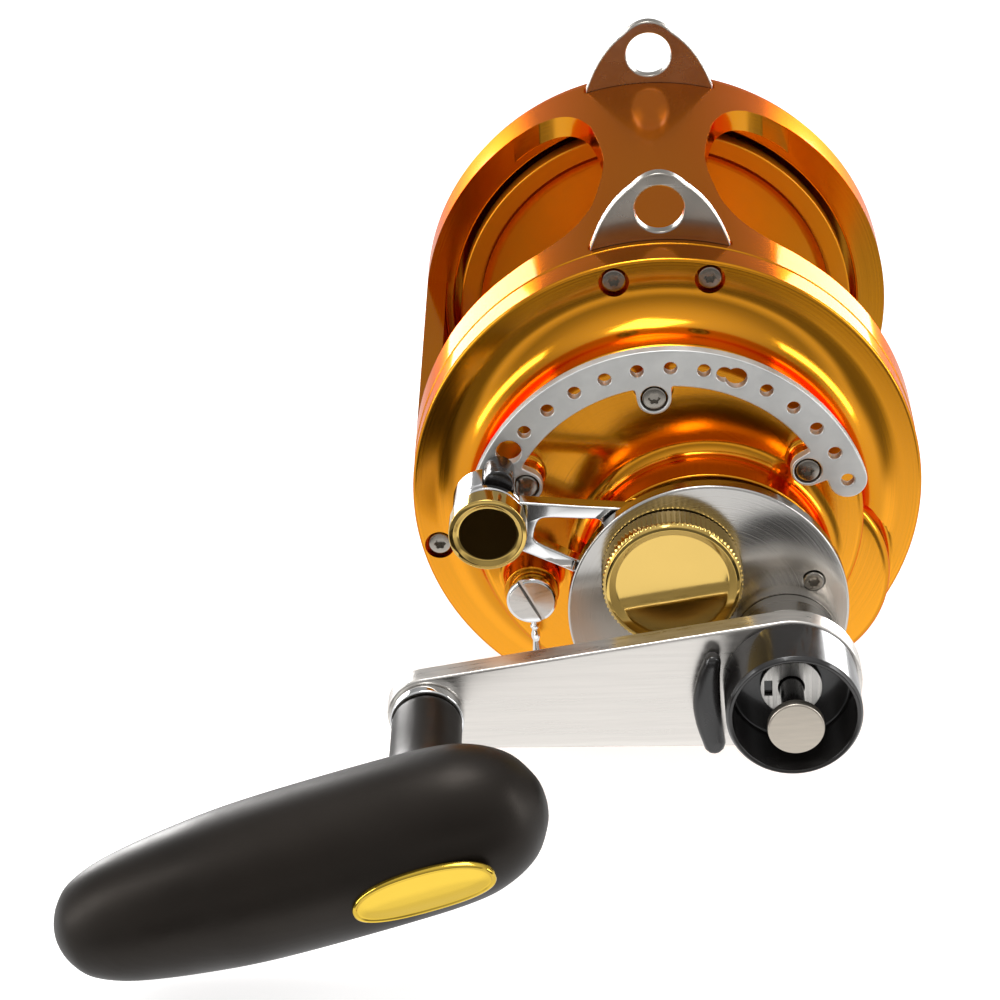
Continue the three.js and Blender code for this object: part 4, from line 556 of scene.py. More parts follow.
def piece(node, mesh, material, bevel=0, name=None):
    """Makes the finished piece that stands for a CAD node and moves with its body."""
    mesh.transform(Matrix.Translation((0, 0, AXIS_Z * MM)) @ Matrix.Scale(MM, 4))
    mesh.materials.clear()
    mesh.materials.append(material)
    smoothed(mesh)
    obj = bpy.data.objects.new(name or f"{node}_finish", mesh)
    bpy.context.scene.collection.objects.link(obj)
    if bevel:
        bevelled(obj, bevel)
    normals = obj.modifiers.new("normals", "WEIGHTED_NORMAL")
    normals.keep_sharp = True
    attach(obj, frame["nodes"][node]["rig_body"])
    if name is None:
        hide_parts(node)
    return obj


def kept(node, material, bevel=0.0):
    """Keeps a CAD node's shape, with a finish and softened edges."""
    obj = frame["nodes"][node]
    for slot in obj.material_slots:
        slot.material = material
    if bevel:
        weld = obj.modifiers.new("weld", "WELD")
        weld.merge_threshold = 1e-6
        bevelled(obj, bevel)
        obj.modifiers.new("normals", "WEIGHTED_NORMAL").keep_sharp = True


# frame


def frame_mesh():
    wall = RING_RADIUS - FRAME_WALL
    body = turned([
        (RING_INNER, RING.front), (RING_RADIUS, RING.front, 0.5), (RING_RADIUS, RING.back, 0.8),
        (RING_INNER, RING.back), (RING_INNER, RING_FACE, 0.6), (wall, RING_FACE, 0.5),
        (wall, -RING_FACE, 0.5), (RING_INNER, -RING_FACE, 0.6),
    ], segments=240)
    waist = 13
    edge = [
        (0, waist), (22, waist + 2.4), (31, waist + 4.9), (37, waist + 8), (41, waist + 12),
        (43.2, waist + 17),
    ]
    edge = smooth_line([(-y, x) for y, x in reversed(edge[1:])] + edge, 5)
    reach, top = RING_RADIUS + 5, RING_RADIUS + 5
    corners = [
        (-RING_FACE, waist + 24), *edge, (RING_FACE, waist + 24), (RING_FACE, reach), (-RING_FACE, reach),
    ]
    tools = []
    for side, bottom in ((-1, 9.4), (1, -36)):
        tools.append(prism([(side * x, y) for y, x in corners], bottom, top, "z"))
    tools.append(prism(
        [(-reach, -RING_FACE), (-20, -RING_FACE), (-20, RING_FACE), (-reach, RING_FACE)], -36, -17, "z",
    ))
    for side in (-1, 1):
        y, half = side * 52.5, 1.5 + GAP
        seat = [(-17.6, 60), (17.6, 60), (17.6, 80), (-17.6, 80)]
        tools.append(prism(seat, y - half, y + half))
        tongue = [(-9.3, 57.2), (9.3, 57.2), (9.3, 61), (-9.3, 61)]
        tools.append(prism(tongue, y - half + 0.01, y + half - 0.01))
    return cut(body, *tools, overlapping=True)


# side plates


def socket_lobes(x, z, radius=1.32):
    points = []
    for k in range(48):
        turn = 2 * math.pi * k / 48
        r = radius + 0.17 * math.cos(6 * turn)
        points.append((x + r * math.cos(turn), z + r * math.sin(turn)))
    return points


def socket_screw(node, facing=-1, shank=12.0, head=3.0):
    """A cap screw with a lobed socket; facing is the way its head looks along Y."""
    box = Extent(node)
    top = box.front if facing < 0 else box.back
    x, z = box.centre
    step = -facing
    profile = [
        (0, top, 0), (box.radius, top, 0.45), (box.radius, top + step * head, 0.15),
        (1.5, top + step * head, 0), (1.5, top + step * (head + shank), 0),
        (0, top + step * (head + shank), 0),
    ]
    body = turned(profile, (x, z), 0.2, 48)
    hole = prism(socket_lobes(x, z), top - step * 1, top + step * head * 0.55)
    piece(node, cut(body, hole), SCREW_STEEL)


def pocket(node, facing=-1, gap=POCKET_GAP, deep=3.3, out=8):
    box = Extent(node)
    top = box.front if facing < 0 else box.back
    step = -facing
    return drum(box.radius + gap, top + step * deep, top - step * out, box.centre, 40)


RIGHT_SCREWS = [f"right_plate_screw_{i}" for i in range(1, 6)]
LEFT_SCREWS = [f"left_plate_screw_{i}" for i in range(1, 4)]
QUADRANT_SCREWS = [f"quadrant_screw_{i}" for i in range(1, 4)]
COVER_SCREWS = [f"gear_cover_screw_{i}" for i in range(1, 4)]


def fillet(radius, base, size, steps=10):
    """(radius, depth) points of a concave quarter round at the foot of a wall."""
    points = []
    for k in range(steps + 1):
        turn = math.pi / 2 * k / steps
        points.append((radius + size * (1 - math.sin(turn)), base + size * (1 - math.cos(turn))))
    return points


def boss(radius, start, front, foot, centre, lip=0.8, rim=0.0, sunk=6):
    """A drum standing on a face, with a flared foot and a rounded rim."""
    points = [(0, depth(start - sunk))]
    points.append((radius + foot, depth(start - sunk)))
    points += [(r, depth(d)) for r, d in fillet(radius, start, foot)]
    if rim:
        points += [(radius, depth(front - 2.2)), (radius + rim, depth(front - 0.6))]
    points += soften([(radius + rim, depth(front - 3 * lip)), (radius + rim, depth(front), lip),
                      (radius - 4 * lip, depth(front))], lip, False)[1:]
    points.append((0, depth(front)))
    return lathe(points, centre, 160)


def right_plate_mesh():
    outer = [(0, PLATE_BACK), (RING_RADIUS - 0.2, PLATE_BACK)]
    edge = [(RING_RADIUS, PLATE_BACK), (RING_RADIUS, FACE_Y), (RING_RADIUS - 6, FACE_Y)]
    outer += soften(edge, 0.9, False)[1:-1]
    outer.append((BOSS_RADIUS + BOSS_FILLET + 0.4, FACE_Y))
    outer += [(r, depth(d)) for r, d in fillet(BOSS_RADIUS, 0, BOSS_FILLET, 20)]
    corner = [(BOSS_RADIUS, depth(11)), (BOSS_RADIUS, depth(BOSS_DEPTH), 1.6), (30, depth(BOSS_DEPTH))]
    outer += soften(corner, 1, False, 6)[1:-1]
    outer.append((0, depth(BOSS_DEPTH)))
    body = lathe(outer, segments=240)
    body = union(
        body,
        boss(BULGE_RADIUS, 0, BULGE_DEPTH, 1.6, CRANK, 2.0, 0, 3),
        boss(HOUSING_RADIUS, BOSS_DEPTH, HOUSING_DEPTH, 3.5, COVER.centre, 0.5, 1.0, 2),
        boss(PIVOT_SCREW.radius + 0.6, BOSS_DEPTH, POST_DEPTH, 1.6, POST, 0.4, 0, 2),
        *[boss(4, BOSS_DEPTH, QUADRANT_POST_DEPTH, 1.2, polar(QUADRANT_SCREW_CIRCLE, a), 0.3, 0, 1)
          for a in QUADRANT_SCREW_ANGLES],
    )
    inner_boss, inner_housing = depth(BOSS_DEPTH - WALL), depth(HOUSING_DEPTH - WALL)
    tools = [
        drum(BOSS_RADIUS - WALL, PLATE_BACK + 1, inner_boss),
        drum(BULGE_RADIUS - 1.5, PLATE_BACK + 1, depth(BULGE_DEPTH - 1.5), CRANK),
        drum(HOUSING_RADIUS - WALL, inner_boss + 1, inner_housing, COVER.centre),
        drum(6.5, inner_housing + 2, depth(60), (0, 0), 48),
        drum(8.3, inner_housing + 1, depth(60), CRANK, 48),
        *[pocket(name, gap=PLATE_POCKET_GAP) for name in RIGHT_SCREWS],
    ]
    body = cut(body, *tools, overlapping=True)
    return body


def cover_wall_mesh():
    """The wall between the housing and its cover; the lever sweeps through the open part."""
    outline = []
    first, last = math.radians(73.6 - 11), math.radians(248 + 11)
    for radius, start, end in ((HOUSING_RADIUS, first, last), (22.6, last, first)):
        for k in range(61):
            turn = start + (end - start) * k / 60
            outline.append((COVER.x + radius * math.sin(turn), COVER.z + radius * math.cos(turn)))
    return slab([outline], depth(HOUSING_DEPTH - 1), COVER.back + GAP, 0.2)


def left_plate_mesh():
    face = LEFT.back - 5
    body = turned([
        (0, LEFT.front, 0), (LEFT.radius, LEFT.front, 0.3), (LEFT.radius, face, 1.2), (33.5, face, 2.5),
        (30, LEFT.back, 2.2), (0, LEFT.back, 0),
    ], segments=200)
    hollow = drum(30 - WALL, LEFT.front - 1, LEFT.back - WALL)
    body = cut(body, hollow, *[pocket(name, 1) for name in LEFT_SCREWS])
    sleeve = turned([
        (9.8, LEFT.front + 0.5, 0), (12.5, LEFT.front + 0.5, 0.2), (12.5, LEFT.back - WALL + 0.5, 0),
        (9.8, LEFT.back - WALL + 0.5, 0),
    ], segments=64)
    return union(body, sleeve)


# spool


def spool_mesh():
    half, arbor, flange = 40.5, 21, SPOOL.radius
    side = [
        (arbor, half - 7, 6), (arbor + 6, half - 0.5, 5), (flange - 7, half + 1.6, 2),
        (flange - 5.4, half + 0.05, 0), (flange - 5.35, half + 2.2, 0), (flange - 4.65, half + 2.2, 0),
        (flange - 4.6, half, 0), (flange, half, 0.5), (flange, SPOOL.back, 0.5),
    ]
    mirror = [(p[0], -p[1], *p[2:]) for p in reversed(side)]
    profile = [(9.5, SPOOL.front, 0), *mirror, *side, (9.5, SPOOL.back, 0)]
    return turned(profile, segments=200)


# drag quadrant and lever


def quadrant_outline():
    outer, inner = DETENT_CIRCLE + 4.7, DETENT_CIRCLE - 4.7
    start, end = -76.0, -49.1 + 10.1 * 12
    points = [(*polar(outer, start + (end - start) * k / 80), 0) for k in range(81)]
    cap = polar(DETENT_CIRCLE, end)
    for k in range(1, 16):
        around = polar(4.7, end + 180 * k / 16)
        points.append((cap[0] + around[0], cap[1] + around[1], 0))
    tabs = sorted(QUADRANT_SCREW_ANGLES, reverse=True)
    here = end
    for tab in tabs:
        spread = 6.2
        steps = max(2, round((here - tab - spread) / 2))
        points += [(*polar(inner, here + (tab + spread - here) * k / steps), 0) for k in range(steps)]
        points.append((*polar(inner, tab + spread), 3))
        centre = polar(QUADRANT_SCREW_CIRCLE, tab)
        for k in range(17):
            around = polar(4.1, tab + 90 + 180 * k / 16)
            points.append((centre[0] + around[0], centre[1] + around[1], 0))
        points.append((*polar(inner, tab - spread), 3))
        here = tab - spread
    points.append((*polar(inner, start), 1.5))
    return soften(points, 0, True, 6)


def strike_hole():
    """Two overlapping round holes as one outline."""
    big, small = polar(DETENT_CIRCLE, -49.1 + 10.1 * 7), polar(DETENT_CIRCLE, -49.1 + 10.1 * 6.62)
    around = []
    for (x, z), radius, other, reach in ((big, 2.6, small, 1.9), (small, 1.9, big, 2.6)):
        around += [p for p in circle(x, z, radius, 64) if math.dist(p, other) > reach]
    middle = ((big[0] * 0.42 + small[0] * 0.58), (big[1] * 0.42 + small[1] * 0.58))
    return sorted(around, key=lambda p: math.atan2(p[1] - middle[1], p[0] - middle[0]))


def quadrant_mesh():
    outlines = [quadrant_outline(), strike_hole(), circle(*polar(DETENT_CIRCLE, -57.4), 3.1)]
    outlines += [circle(*polar(DETENT_CIRCLE, -49.1 + 10.1 * i), 1.6, 28) for i in range(13) if i != 7]
    outlines += [circle(*Extent(name).centre, Extent(name).radius + POCKET_GAP) for name in QUADRANT_SCREWS]
    return slab(outlines, QUADRANT.back, QUADRANT.front, 0.35, 3)


def lever_frame():
    """Unit vectors along and across the lever's arm at rest."""
    along = Vector(BARREL).normalized()
    return along, Vector((along.y, -along.x))


def lever_mesh():
    along, across = lever_frame()
    at = lambda a, b, r: (*(along * a + across * b), r)
    reach = math.hypot(*BARREL)
    outline = soften([
        at(6, 12.2, 1), at(26, 8.3, 3), at(39, 6, 3), at(reach, 6, 0), at(reach, -6, 0), at(39, -6, 3),
        at(26, -8.3, 3), at(6, -12.2, 1),
    ], 1)
    window = soften([
        at(18.5, 6.4, 1.2), at(30, 4, 2), at(33.4, 3, 2.4), at(33.6, 0, 0), at(33.4, -3, 2.4), at(30, -4, 2),
        at(18.5, -6.4, 1.2),
    ], 1)
    front, back = depth(35), depth(30.8)
    arm = slab([outline, window], back, front, 0.5)
    hub = turned([(8.8, front), (15, front), (15, back), (8.8, back)], segments=96)
    barrel_back, barrel_front = depth(25), depth(40)
    groove = 0.35
    barrel = [(0, barrel_front, 0), (8.6, barrel_front, 0.4)]
    for line in (36.4, 34.2):
        barrel += [
            (8.6, depth(line), 0.1), (8.6 - groove, depth(line - groove), 0.1),
            (8.6, depth(line - 2 * groove), 0.1),
        ]
    barrel += [(8.6, barrel_back, 0.8), (0, barrel_back, 0)]
    body = union(arm, hub, turned(barrel, BARREL, segments=96))
    return cut(
        body,
        drum(8.8, back + 1, front - 1, (0, 0), 64),
        drum(2.8, depth(32), depth(45), BARREL, 48),
        drum(PLUNGER.radius + GAP, depth(20), depth(34.2), PLUNGER.centre, 48),
    )


def lever_button_mesh():
    front, back, radius = BUTTON_CAP.front, depth(38), BUTTON_CAP.radius
    profile = [
        (0, front + 0.95, 0), (3.5, front + 0.93, 3), (radius - 2.2, front + 0.75, 1.5),
        (radius - 1.1, front, 0.35), (radius, front + 0.3, 0.35), (radius, back, 0.3),
        (radius - 0.4, back, 0.05), (radius - 0.4, front + 2.6, 0.1), (2.5, front + 2.6, 0.1),
        (2.5, depth(35), 0.2), (0, depth(35), 0),
    ]
    return turned(profile, BARREL, 0.2, 128)


def plunger_mesh():
    r, f, b = PLUNGER.radius, PLUNGER.front, PLUNGER.back
    profile = [(0, f, 0), (r, f, 0.5), (r, f + 2, 0), (r - 0.2, f + 2.2, 0.05), (r, f + 2.4, 0.05),
               (r, b - 0.6, 0.3), (r - 0.6, b, 0.2), (0, b, 0)]
    return turned(profile, PLUNGER.centre, 0.2, 64)


# gear cover and knob


def cover_mesh():
    r, f, b = COVER.radius, COVER.front, COVER.back
    profile = [(8.1, f, 0.1), (r, f, 0.55), (r, b, 0.2), (8.1, b, 0)]
    body = turned(profile, COVER.centre, 0.3, 220)
    solid = drum(9, b, f, COVER.centre, 96)
    body = union(body, solid)
    return cut(
        body,
        drum(8.1, b + 1, f - 1, (0, 0), 64),
        drum(5.3, b + 1, f - 1, CRANK, 48),
        *[pocket(name, out=6, deep=3.2) for name in COVER_SCREWS],
    )


KNOB_RIBS = 84


def knob_mesh():
    r, f, b = 16.8, KNOB.front, depth(40.6)
    steps = KNOB_RIBS * 4
    profile = [
        (0, f + 1.15, 0), (5, f + 1.12, 3), (r - 3.4, f + 0.9, 1.5), (r - 1.7, f, 0.3),
        (r - 0.9, f + 0.1, 0.3), (r - 0.55, f + 0.7, 0.1), (r - 0.1, f + 1.1, 0.1), (r, f + 1.6, 0),
        (r, b - 0.7, 0), (r - 0.5, b, 0.1), (7.6, b, 0.1),
        (7.6, KNOB.back, 0), (4.3, KNOB.back, 0), (4.3, depth(43.2), 0), (0, depth(43.2), 0),
    ]
    points = soften(profile, 0.2, False)
    ribbed = {i for i, (radius, y) in enumerate(points) if radius > r - 0.2 and y > f + 0.9}

    def wave(turn, index):
        return -0.42 * (0.5 + 0.5 * math.cos(KNOB_RIBS * turn)) if index in ribbed else 0

    return lathe(points, (0, 0), steps, wave)


# clicker


def clicker_mesh():
    """An eye under the pivot screw and a turned tail with a ring, a ball and a flared end."""
    back, front = CLICKER.back, CLICKER.front
    half, middle = (back - front) / 2, (back + front) / 2
    length = POST[1] - CLICKER.low
    eye = slab([circle(*POST, 5.2, 64)], back, front, 0.45)
    tail = turned([
        (0, 3.6, 0), (0.95, 3.6, 0), (0.8, 8.2, 0.2), (half, 8.5, 0.2), (half, 9.1, 0.2), (0.75, 9.4, 0.2),
        (0.8, 10, 0.3), (half, 10.9, 0.8), (half, 11.9, 0.8), (0.8, 12.8, 0.4), (0.85, 13.4, 0.4),
        (half, 15.6, 1), (half, length - 0.7, 0.6), (0, length, 0),
    ], segments=48)
    hang = Matrix.Rotation(math.radians(-2.6), 4, "Y") @ Matrix.Rotation(-math.pi / 2, 4, "X")
    tail.transform(Matrix.Translation((POST[0], middle, POST[1])) @ hang)
    return cut(union(eye, tail), drum(2.9, back + 1, front - 1, POST, 40))


def pivot_screw_mesh():
    box = PIVOT_SCREW
    profile = [
        (0, box.front, 0), (box.radius, box.front + 0.4, 0.9), (box.radius, box.front + 2.6, 0.3),
        (2.6, box.front + 2.6, 0), (2.6, box.back, 0), (0, box.back, 0),
    ]
    body = turned(profile, POST, 0.2, 96)
    turn = math.radians(-63)
    slot = []
    for a, b in ((-9, -0.6), (9, -0.6), (9, 0.6), (-9, 0.6)):
        across, up = a * math.cos(turn) - b * math.sin(turn), a * math.sin(turn) + b * math.cos(turn)
        slot.append((POST[0] + across, POST[1] + up))
    return cut(body, prism(slot, box.front - 1, box.front + 1.4))


# crank


def collar_mesh():
    r, f, b = COLLAR.radius, COLLAR.front, COLLAR.back
    profile = [
        (5.3, f, 0), (r - 0.3, f, 0.5), (r, f + 1, 0.3), (r, f + 4, 0.05), (r - 0.25, f + 4.2, 0.05),
        (r, f + 4.4, 0.05), (r, b - 4, 0.1), (r - 0.6, b - 3.6, 0.1), (r - 0.6, b, 0.2), (5.3, b, 0),
    ]
    body = turned(profile, CRANK, 0.2, 160)
    hole = drum(1.3, 0, -6, (0, 0), 32)
    hole.transform(Matrix.Rotation(-math.pi / 2, 4, "X"))
    hole.transform(Matrix.Translation((CRANK[0], f + 7, CRANK[1])) @ Matrix.Rotation(math.radians(38), 4, "Y")
                   @ Matrix.Translation((0, 0, r + 2)))
    return cut(body, hole)


def arm_mesh():
    hub = (CRANK[0], CRANK[1] - 1)
    tip = (GRIP[0], GRIP[1] + 0.2)
    outline = stadium(hub, 17, tip, 9.6, 64)
    holes = [circle(*GRIP, PIN.radius + GAP, 48)]
    body = slab([outline, *holes], ARM.back, ARM.front, 0.6, 4)
    return cut(
        body,
        drum(5.3, ARM.back + 4, ARM.front + 0.7, CRANK, 64),
        drum(3.1, ARM.back + 4, ARM.front - 1, CRANK, 48),
        overlapping=True,
    )


def cup_mesh():
    r, f, b = CUP.radius, CUP.front, CUP.back
    floor = b - 1.5
    profile = [
        (3.1, b, 0), (r - 0.5, b, 0.3), (r, b - 0.6, 0.3), (r, f + 1, 0.5), (r - 0.6, f, 0.35),
        (r - 1.5, f + 0.2, 0.4), (r - 1.7, floor, 0.8), (3.1, floor, 0),
    ]
    return turned(profile, CRANK, 0.2, 144)


def washer_mesh():
    x, z = CRANK[0] - 5.4, CRANK[1]
    slot = [(x - 0.9, z - 2), (x + 0.9, z - 2), (x + 0.9, z + 2), (x - 0.9, z + 2)]
    return slab([circle(*CRANK, 7.3, 96), circle(*CRANK, 3.1, 48), slot], WASHER.back, WASHER.front, 0.12)


def push_button_mesh():
    r, f, b = PUSH.radius, PUSH.front, PUSH.back
    return turned([(0, f, 0), (r, f, 0.45), (r, b, 0.2), (0, b, 0)], CRANK, 0.2, 96)


def stem_mesh():
    f, b = STEM.front, STEM.back
    profile = [(0, f, 0), (4.2, f, 0.3), (4.2, f + 2, 0.3), (2.8, f + 3, 0.4), (2.8, b, 0.2), (0, b, 0)]
    return turned(profile, CRANK, 0.2, 64)


def release_mesh():
    """A bean-shaped tab: slim at the pivot, its belly towards the grip, and a round foot."""
    top = joint_place("release_press")
    spine = smooth_line([
        (top[0] + 0.5, top[1] - 1.5, 2.0), (top[0] - 0.5, top[1] - 6, 2.7), (top[0] - 1.0, top[1] - 12, 3.3),
        (top[0] - 0.5, top[1] - 18, 3.2), (top[0] + 0.6, RELEASE.low + 2.9, 2.7),
    ], 4)
    bm = bmesh.new()
    rows, steps = [], 28
    middle, half = (RELEASE.front + RELEASE.back) / 2, (RELEASE.back - RELEASE.front) / 2
    first, last = [(spine[0], a) for a in (80, 55, 30)], [(spine[-1], -a) for a in (30, 55, 80)]
    for (x, z, radius), tilt in first + [(p, 0) for p in spine] + last:
        grow, lift = math.cos(math.radians(tilt)), radius * math.sin(math.radians(tilt))
        row = []
        for k in range(steps):
            turn = 2 * math.pi * k / steps
            across = math.copysign(abs(math.cos(turn)) ** 0.8, math.cos(turn)) * radius * grow
            out = math.copysign(abs(math.sin(turn)) ** 0.8, math.sin(turn)) * half * (0.35 + 0.65 * grow)
            row.append(bm.verts.new((x + across, middle + out, z + lift)))
        rows.append(row)
    for upper, lower in zip(rows, rows[1:]):
        for k in range(steps):
            n = (k + 1) % steps
            bm.faces.new((upper[k], upper[n], lower[n], lower[k]))
    bm.faces.new(rows[0])
    bm.faces.new(rows[-1])
    return to_mesh(bm)


# grip

GRIP_PROFILE = [
    (-88, 0), (-87.4, 4), (-85, 8.2), (-81, 11.6), (-72, 14.6), (-56, 17), (-38, 18.4), (-10, 18.6),
    (8, 18), (17, 16), (24, 12), (28, 6.4), (29.2, 3), (29.4, 0),
]
NECK_RADIUS = 8.4
GRIP_RADIUS = 18.6


def grip_mesh():
    outline = smooth_line(GRIP_PROFILE, 5)
    barrel = lathe([(max(r, 0), a) for a, r in outline if r > 0.02 or a < -87.9 or a > 29.3], (0, 0), 120)
    lay = Matrix.Rotation(-GRIP_DROOP, 4, "Y") @ Matrix.Rotation(-math.pi / 2, 4, "Z")
    barrel.transform(Matrix.Translation((GRIP[0], GRIP_AXIS_Y, GRIP[1])) @ lay)
    back = GRIP_RING.front - GAP
    flare = smooth_line([
        (12.6, GRIP_AXIS_Y + 12), (11.2, GRIP_AXIS_Y + 15.5), (NECK_RADIUS + 0.9, GRIP_AXIS_Y + 20),
        (NECK_RADIUS + 0.1, GRIP_AXIS_Y + 27), (NECK_RADIUS, back - 0.4),
    ], 5)
    inner_end = [(NECK_RADIUS - 0.4, back), (0, back)]
    neck = lathe([(0, GRIP_AXIS_Y), (13, GRIP_AXIS_Y), *flare, *inner_end], GRIP, 96)
    obj = temporary(union(barrel, neck))
    remesh = obj.modifiers.new("remesh", "REMESH")
    remesh.mode = "VOXEL"
    remesh.voxel_size = 0.8
    relax = obj.modifiers.new("relax", "SMOOTH")
    relax.factor = 0.5
    relax.iterations = 7
    body = evaluated(obj)
    return cut(body, drum(PIN.radius + GAP, back + 2, PIN.front - GAP, GRIP, 48))


def grip_ring_mesh():
    r, f, b = GRIP_RING.radius, GRIP_RING.front, GRIP_RING.back
    return turned([(4.3, f, 0), (r, f, 0.5), (r, b, 0.5), (4.3, b, 0)], GRIP, 0.2, 96)


BADGE_LENGTH, BADGE_WIDTH = 16.6, 6.3


def badge_mesh():
    """A domed oval plate with a raised rim, wrapped on the round of the grip."""
    steps = 120
    rim = [
        (0, -0.2), (0, 0.7), (0.15, 1.0), (0.45, 1.15), (0.8, 1.05), (1.1, 0.72), (1.6, 0.6), (3, 0.72),
        (5.5, 0.9),
    ]
    bm = bmesh.new()
    rows = []
    for inset, height in rim:
        row = []
        for k in range(steps):
            turn = 2 * math.pi * k / steps
            c, s = math.cos(turn), math.sin(turn)
            a = (BADGE_LENGTH - inset) * math.copysign(abs(c) ** 0.86, c)
            b = (BADGE_WIDTH - inset) * math.copysign(abs(s) ** 0.86, s)
            sink = GRIP_RADIUS - math.sqrt(GRIP_RADIUS ** 2 - b * b)
            row.append(bm.verts.new((a, -GRIP_RADIUS - height + sink, b)))
        rows.append(row)
    for upper, lower in zip(rows, rows[1:]):
        for k in range(steps):
            n = (k + 1) % steps
            bm.faces.new((upper[k], upper[n], lower[n], lower[k]))
    bm.faces.new(rows[0])
    bm.faces.new(rows[-1])
    mesh = to_mesh(bm)
    tilt = Matrix.Rotation(math.radians(12), 4, "X")
    droop = Matrix.Rotation(-GRIP_DROOP, 4, "Y")
    mesh.transform(Matrix.Translation((GRIP[0], GRIP_AXIS_Y, GRIP[1])) @ droop @ tilt)
    return mesh


# harness lugs


def lug_mesh(side):
    y = side * 52.5
    base, seat, tongue, root = 17, 60.3, 9, 57.5
    hole, top = 71, 80.3
    shoulder = top - 3.4
    outline = [(-base, seat), (-tongue, seat), (-tongue, root), (tongue, root), (tongue, seat), (base, seat)]
    half = [(base, seat + 1)]
    half += quadratic((base, seat + 1), (base - 3.5, hole + 1), (6.6, shoulder))
    half += quadratic((6.6, shoulder), (3.4, top), (0, top))
    outline += half + [(-x, z) for x, z in reversed(half[:-1])]
    return slab([outline, circle(0, hole, 6, 64)], y + 1.5, y - 1.5, 0.45, 4)


# ---- making the pieces ---------------------------------------------------------------------------------

piece("frame", frame_mesh(), GOLD_BAR, bevel=0.45)
piece("right_side_plate", right_plate_mesh(), GOLD, bevel=0.3)
piece("right_side_plate", cover_wall_mesh(), GOLD, name="cover_wall_finish")
piece("left_side_plate", left_plate_mesh(), GOLD, bevel=0.2)
piece("spool", spool_mesh(), GOLD_SPOOL)
for name in RIGHT_SCREWS:
    socket_screw(name, shank=14)
for name in LEFT_SCREWS:
    socket_screw(name, 1, 8)
for name in QUADRANT_SCREWS:
    socket_screw(name, shank=4, head=1.8)
for name in COVER_SCREWS:
    socket_screw(name, shank=4)
piece("harness_lug_right", lug_mesh(-1), LUG_STEEL)
piece("harness_lug_left", lug_mesh(1), LUG_STEEL)

piece("drag_quadrant", quadrant_mesh(), QUADRANT_STEEL)
piece("drag_lever", lever_mesh(), CHROME, bevel=0.15)
piece("lever_button", lever_button_mesh(), GOLD_PLATE)
piece("detent_plunger", plunger_mesh(), BLACK)
piece("gear_cover", cover_mesh(), COVER_STEEL, bevel=0.15)
piece("preset_knob", knob_mesh(), GOLD_PLATE)
piece("clicker_lever", clicker_mesh(), CHROME)
piece("clicker_pivot_screw", pivot_screw_mesh(), CHROME, bevel=0.12)

piece("crank_collar", collar_mesh(), COLLAR_STEEL)
piece("crank_arm", arm_mesh(), ARM_STEEL)
piece("shift_button_guard", cup_mesh(), BLACK)
piece("shift_washer", washer_mesh(), STEEL)
piece("low_speed_button", push_button_mesh(), BUTTON_STEEL)
piece("button_stem", stem_mesh(), BLACK)
piece("release_lever", release_mesh(), BLACK)
piece("grip", grip_mesh(), RUBBER)
piece("grip_collar", grip_ring_mesh(), CHROME)
piece("grip_badge", badge_mesh(), BADGE_GOLD)

for name in ("reel_foot", "foot_screw_rear", "foot_screw_front", "pressure_plate", "anti_reverse_pawl"):
    kept(name, STEEL, 0.25)
for name in ("spool_bearing_right", "spool_bearing_left", "spindle", "left_plate_bearing", "drive_sleeve",
             "high_speed_pinion", "low_speed_pinion", "sleeve_bearing", "anti_reverse_ratchet", "drag_cam",
             "crank_shaft", "grip_pin"):
    kept(name, STEEL)
for name in ("click_ratchet", "high_speed_gear", "low_speed_gear", "crank_bushing"):
    kept(name, BRONZE)
kept("drag_washer", CARBON)

# ---- stage, lights and camera --------------------------------------------------------------------------


def make_floor():
    mesh = bpy.data.meshes.new("floor")
    half = 6.0
    low = -0.0005
    corners = [(-half, -half, low), (half, -half, low), (half, half, low), (-half, half, low)]
    mesh.from_pydata(corners, [], [(0, 1, 2, 3)])
    look = Look("pale_floor", (0.92, 0.92, 0.92), 0.0, 0.9)
    look.colours(look.noise(3, 2), (0.90, 0.90, 0.90), (0.93, 0.93, 0.93))
    look.shader.inputs["Emission Color"].default_value = (1, 1, 1, 1)
    look.shader.inputs["Emission Strength"].default_value = 0.62
    mesh.materials.append(look.material)
    floor = bpy.data.objects.new("floor", mesh)
    bpy.context.scene.collection.objects.link(floor)
    floor.visible_glossy = False


def area_light(name, place, target, size, power, color=(1, 1, 1)):
    light = bpy.data.lights.new(name, "AREA")
    light.shape = "RECTANGLE"
    light.size, light.size_y = size
    light.energy = power
    light.color = color
    obj = bpy.data.objects.new(name, light)
    obj.location = place
    obj.rotation_euler = (Vector(target) - Vector(place)).to_track_quat("-Z", "Y").to_euler()
    bpy.context.scene.collection.objects.link(obj)


# Brightness of the studio by height of the direction looked in, from straight down (0) to straight up (1).
# The side where the camera stands is dark below its horizon, beyond the lit table.
TENT = ((0.0, 0.95), (0.5, 0.95), (0.56, 0.7), (0.675, 0.3), (0.8, 0.45), (1.0, 0.9))
CAMERA_SIDE = (
    (0.0, 1.35), (0.262, 1.35), (0.294, 0.2), (0.47, 0.16), (0.54, 0.9), (0.675, 0.3), (0.8, 0.45),
    (1.0, 0.9),
)


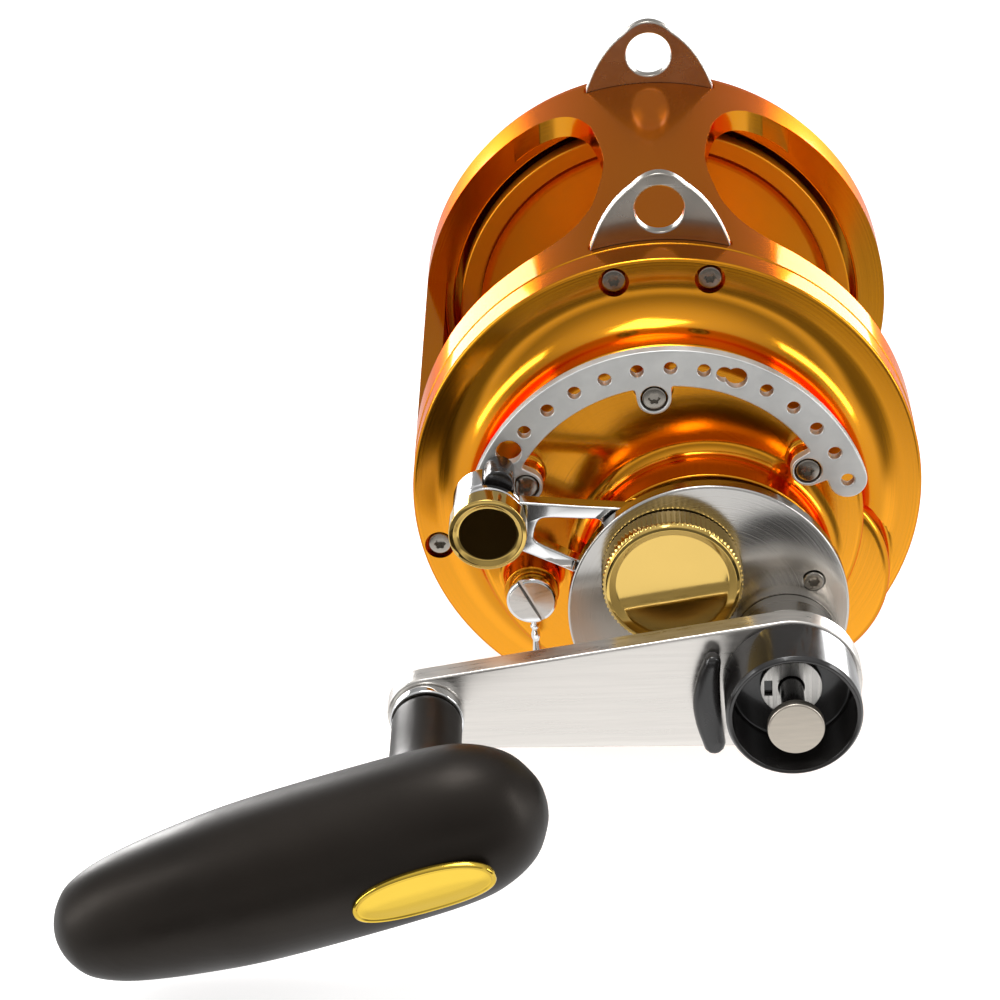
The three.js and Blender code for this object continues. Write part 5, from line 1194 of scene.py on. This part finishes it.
def make_world():
    world = bpy.data.worlds.new("studio")
    world.use_nodes = True
    nodes, links = world.node_tree.nodes, world.node_tree.links
    split = nodes.new("ShaderNodeSeparateXYZ")
    links.new(nodes.new("ShaderNodeTexCoord").outputs["Generated"], split.inputs[0])
    height = nodes.new("ShaderNodeMapRange")
    height.inputs["From Min"].default_value = -1
    links.new(split.outputs["Z"], height.inputs["Value"])
    front = nodes.new("ShaderNodeMapRange")
    front.interpolation_type = "SMOOTHSTEP"
    front.inputs["From Min"].default_value = -0.35
    front.inputs["From Max"].default_value = -0.75
    links.new(split.outputs["Y"], front.inputs["Value"])
    mix = nodes.new("ShaderNodeMix")
    mix.data_type = "RGBA"
    links.new(front.outputs["Result"], mix.inputs["Factor"])
    for socket, bands in (("A", TENT), ("B", CAMERA_SIDE)):
        ramp = nodes.new("ShaderNodeValToRGB")
        stops = ramp.color_ramp.elements
        while len(stops) < len(bands):
            stops.new(0.5)
        for stop, (place, level) in zip(stops, bands):
            stop.position = place
            stop.color = (level, level, level, 1)
        links.new(height.outputs["Result"], ramp.inputs["Fac"])
        links.new(ramp.outputs["Color"], next(s for s in mix.inputs if s.name == socket and s.type == "RGBA"))
    result = next(s for s in mix.outputs if s.type == "RGBA")
    links.new(result, nodes["Background"].inputs["Color"])
    bpy.context.scene.world = world


CAMERA_PLACE = (-0.0142, -0.8335, 0.4750)
CAMERA_AZIMUTH, CAMERA_ELEVATION, CAMERA_ROLL = (math.radians(a) for a in (2.033, 27.836, -2.84))
CAMERA_LENS = 126


def make_camera():
    camera = bpy.data.cameras.new("camera")
    camera.lens = CAMERA_LENS
    camera.sensor_width = 36
    camera.clip_start = 0.01
    obj = bpy.data.objects.new("camera", camera)
    level = Matrix.Rotation(CAMERA_AZIMUTH, 4, "Z") @ Matrix.Rotation(math.pi / 2 - CAMERA_ELEVATION, 4, "X")
    obj.matrix_world = Matrix.Translation(CAMERA_PLACE) @ level @ Matrix.Rotation(CAMERA_ROLL, 4, "Z")
    bpy.context.scene.collection.objects.link(obj)
    bpy.context.scene.camera = obj


make_floor()
make_world()
middle = (0, -0.05, 0.07)
area_light("overhead", (-0.1, 0.1, 1.2), middle, (0.5, 0.5), 5)
area_light("left", (-1.2, -0.3, 0.5), middle, (0.3, 0.9), 5)
area_light("right", (1.2, -0.2, 0.5), middle, (0.3, 0.9), 5)
area_light("back_left", (-0.75, 1.3, 0.12), middle, (0.35, 0.7), 9)
area_light("back_right", (0.75, 1.3, 0.12), middle, (0.35, 0.7), 9)
make_camera()
bpy.context.scene.view_settings.view_transform = "Standard"
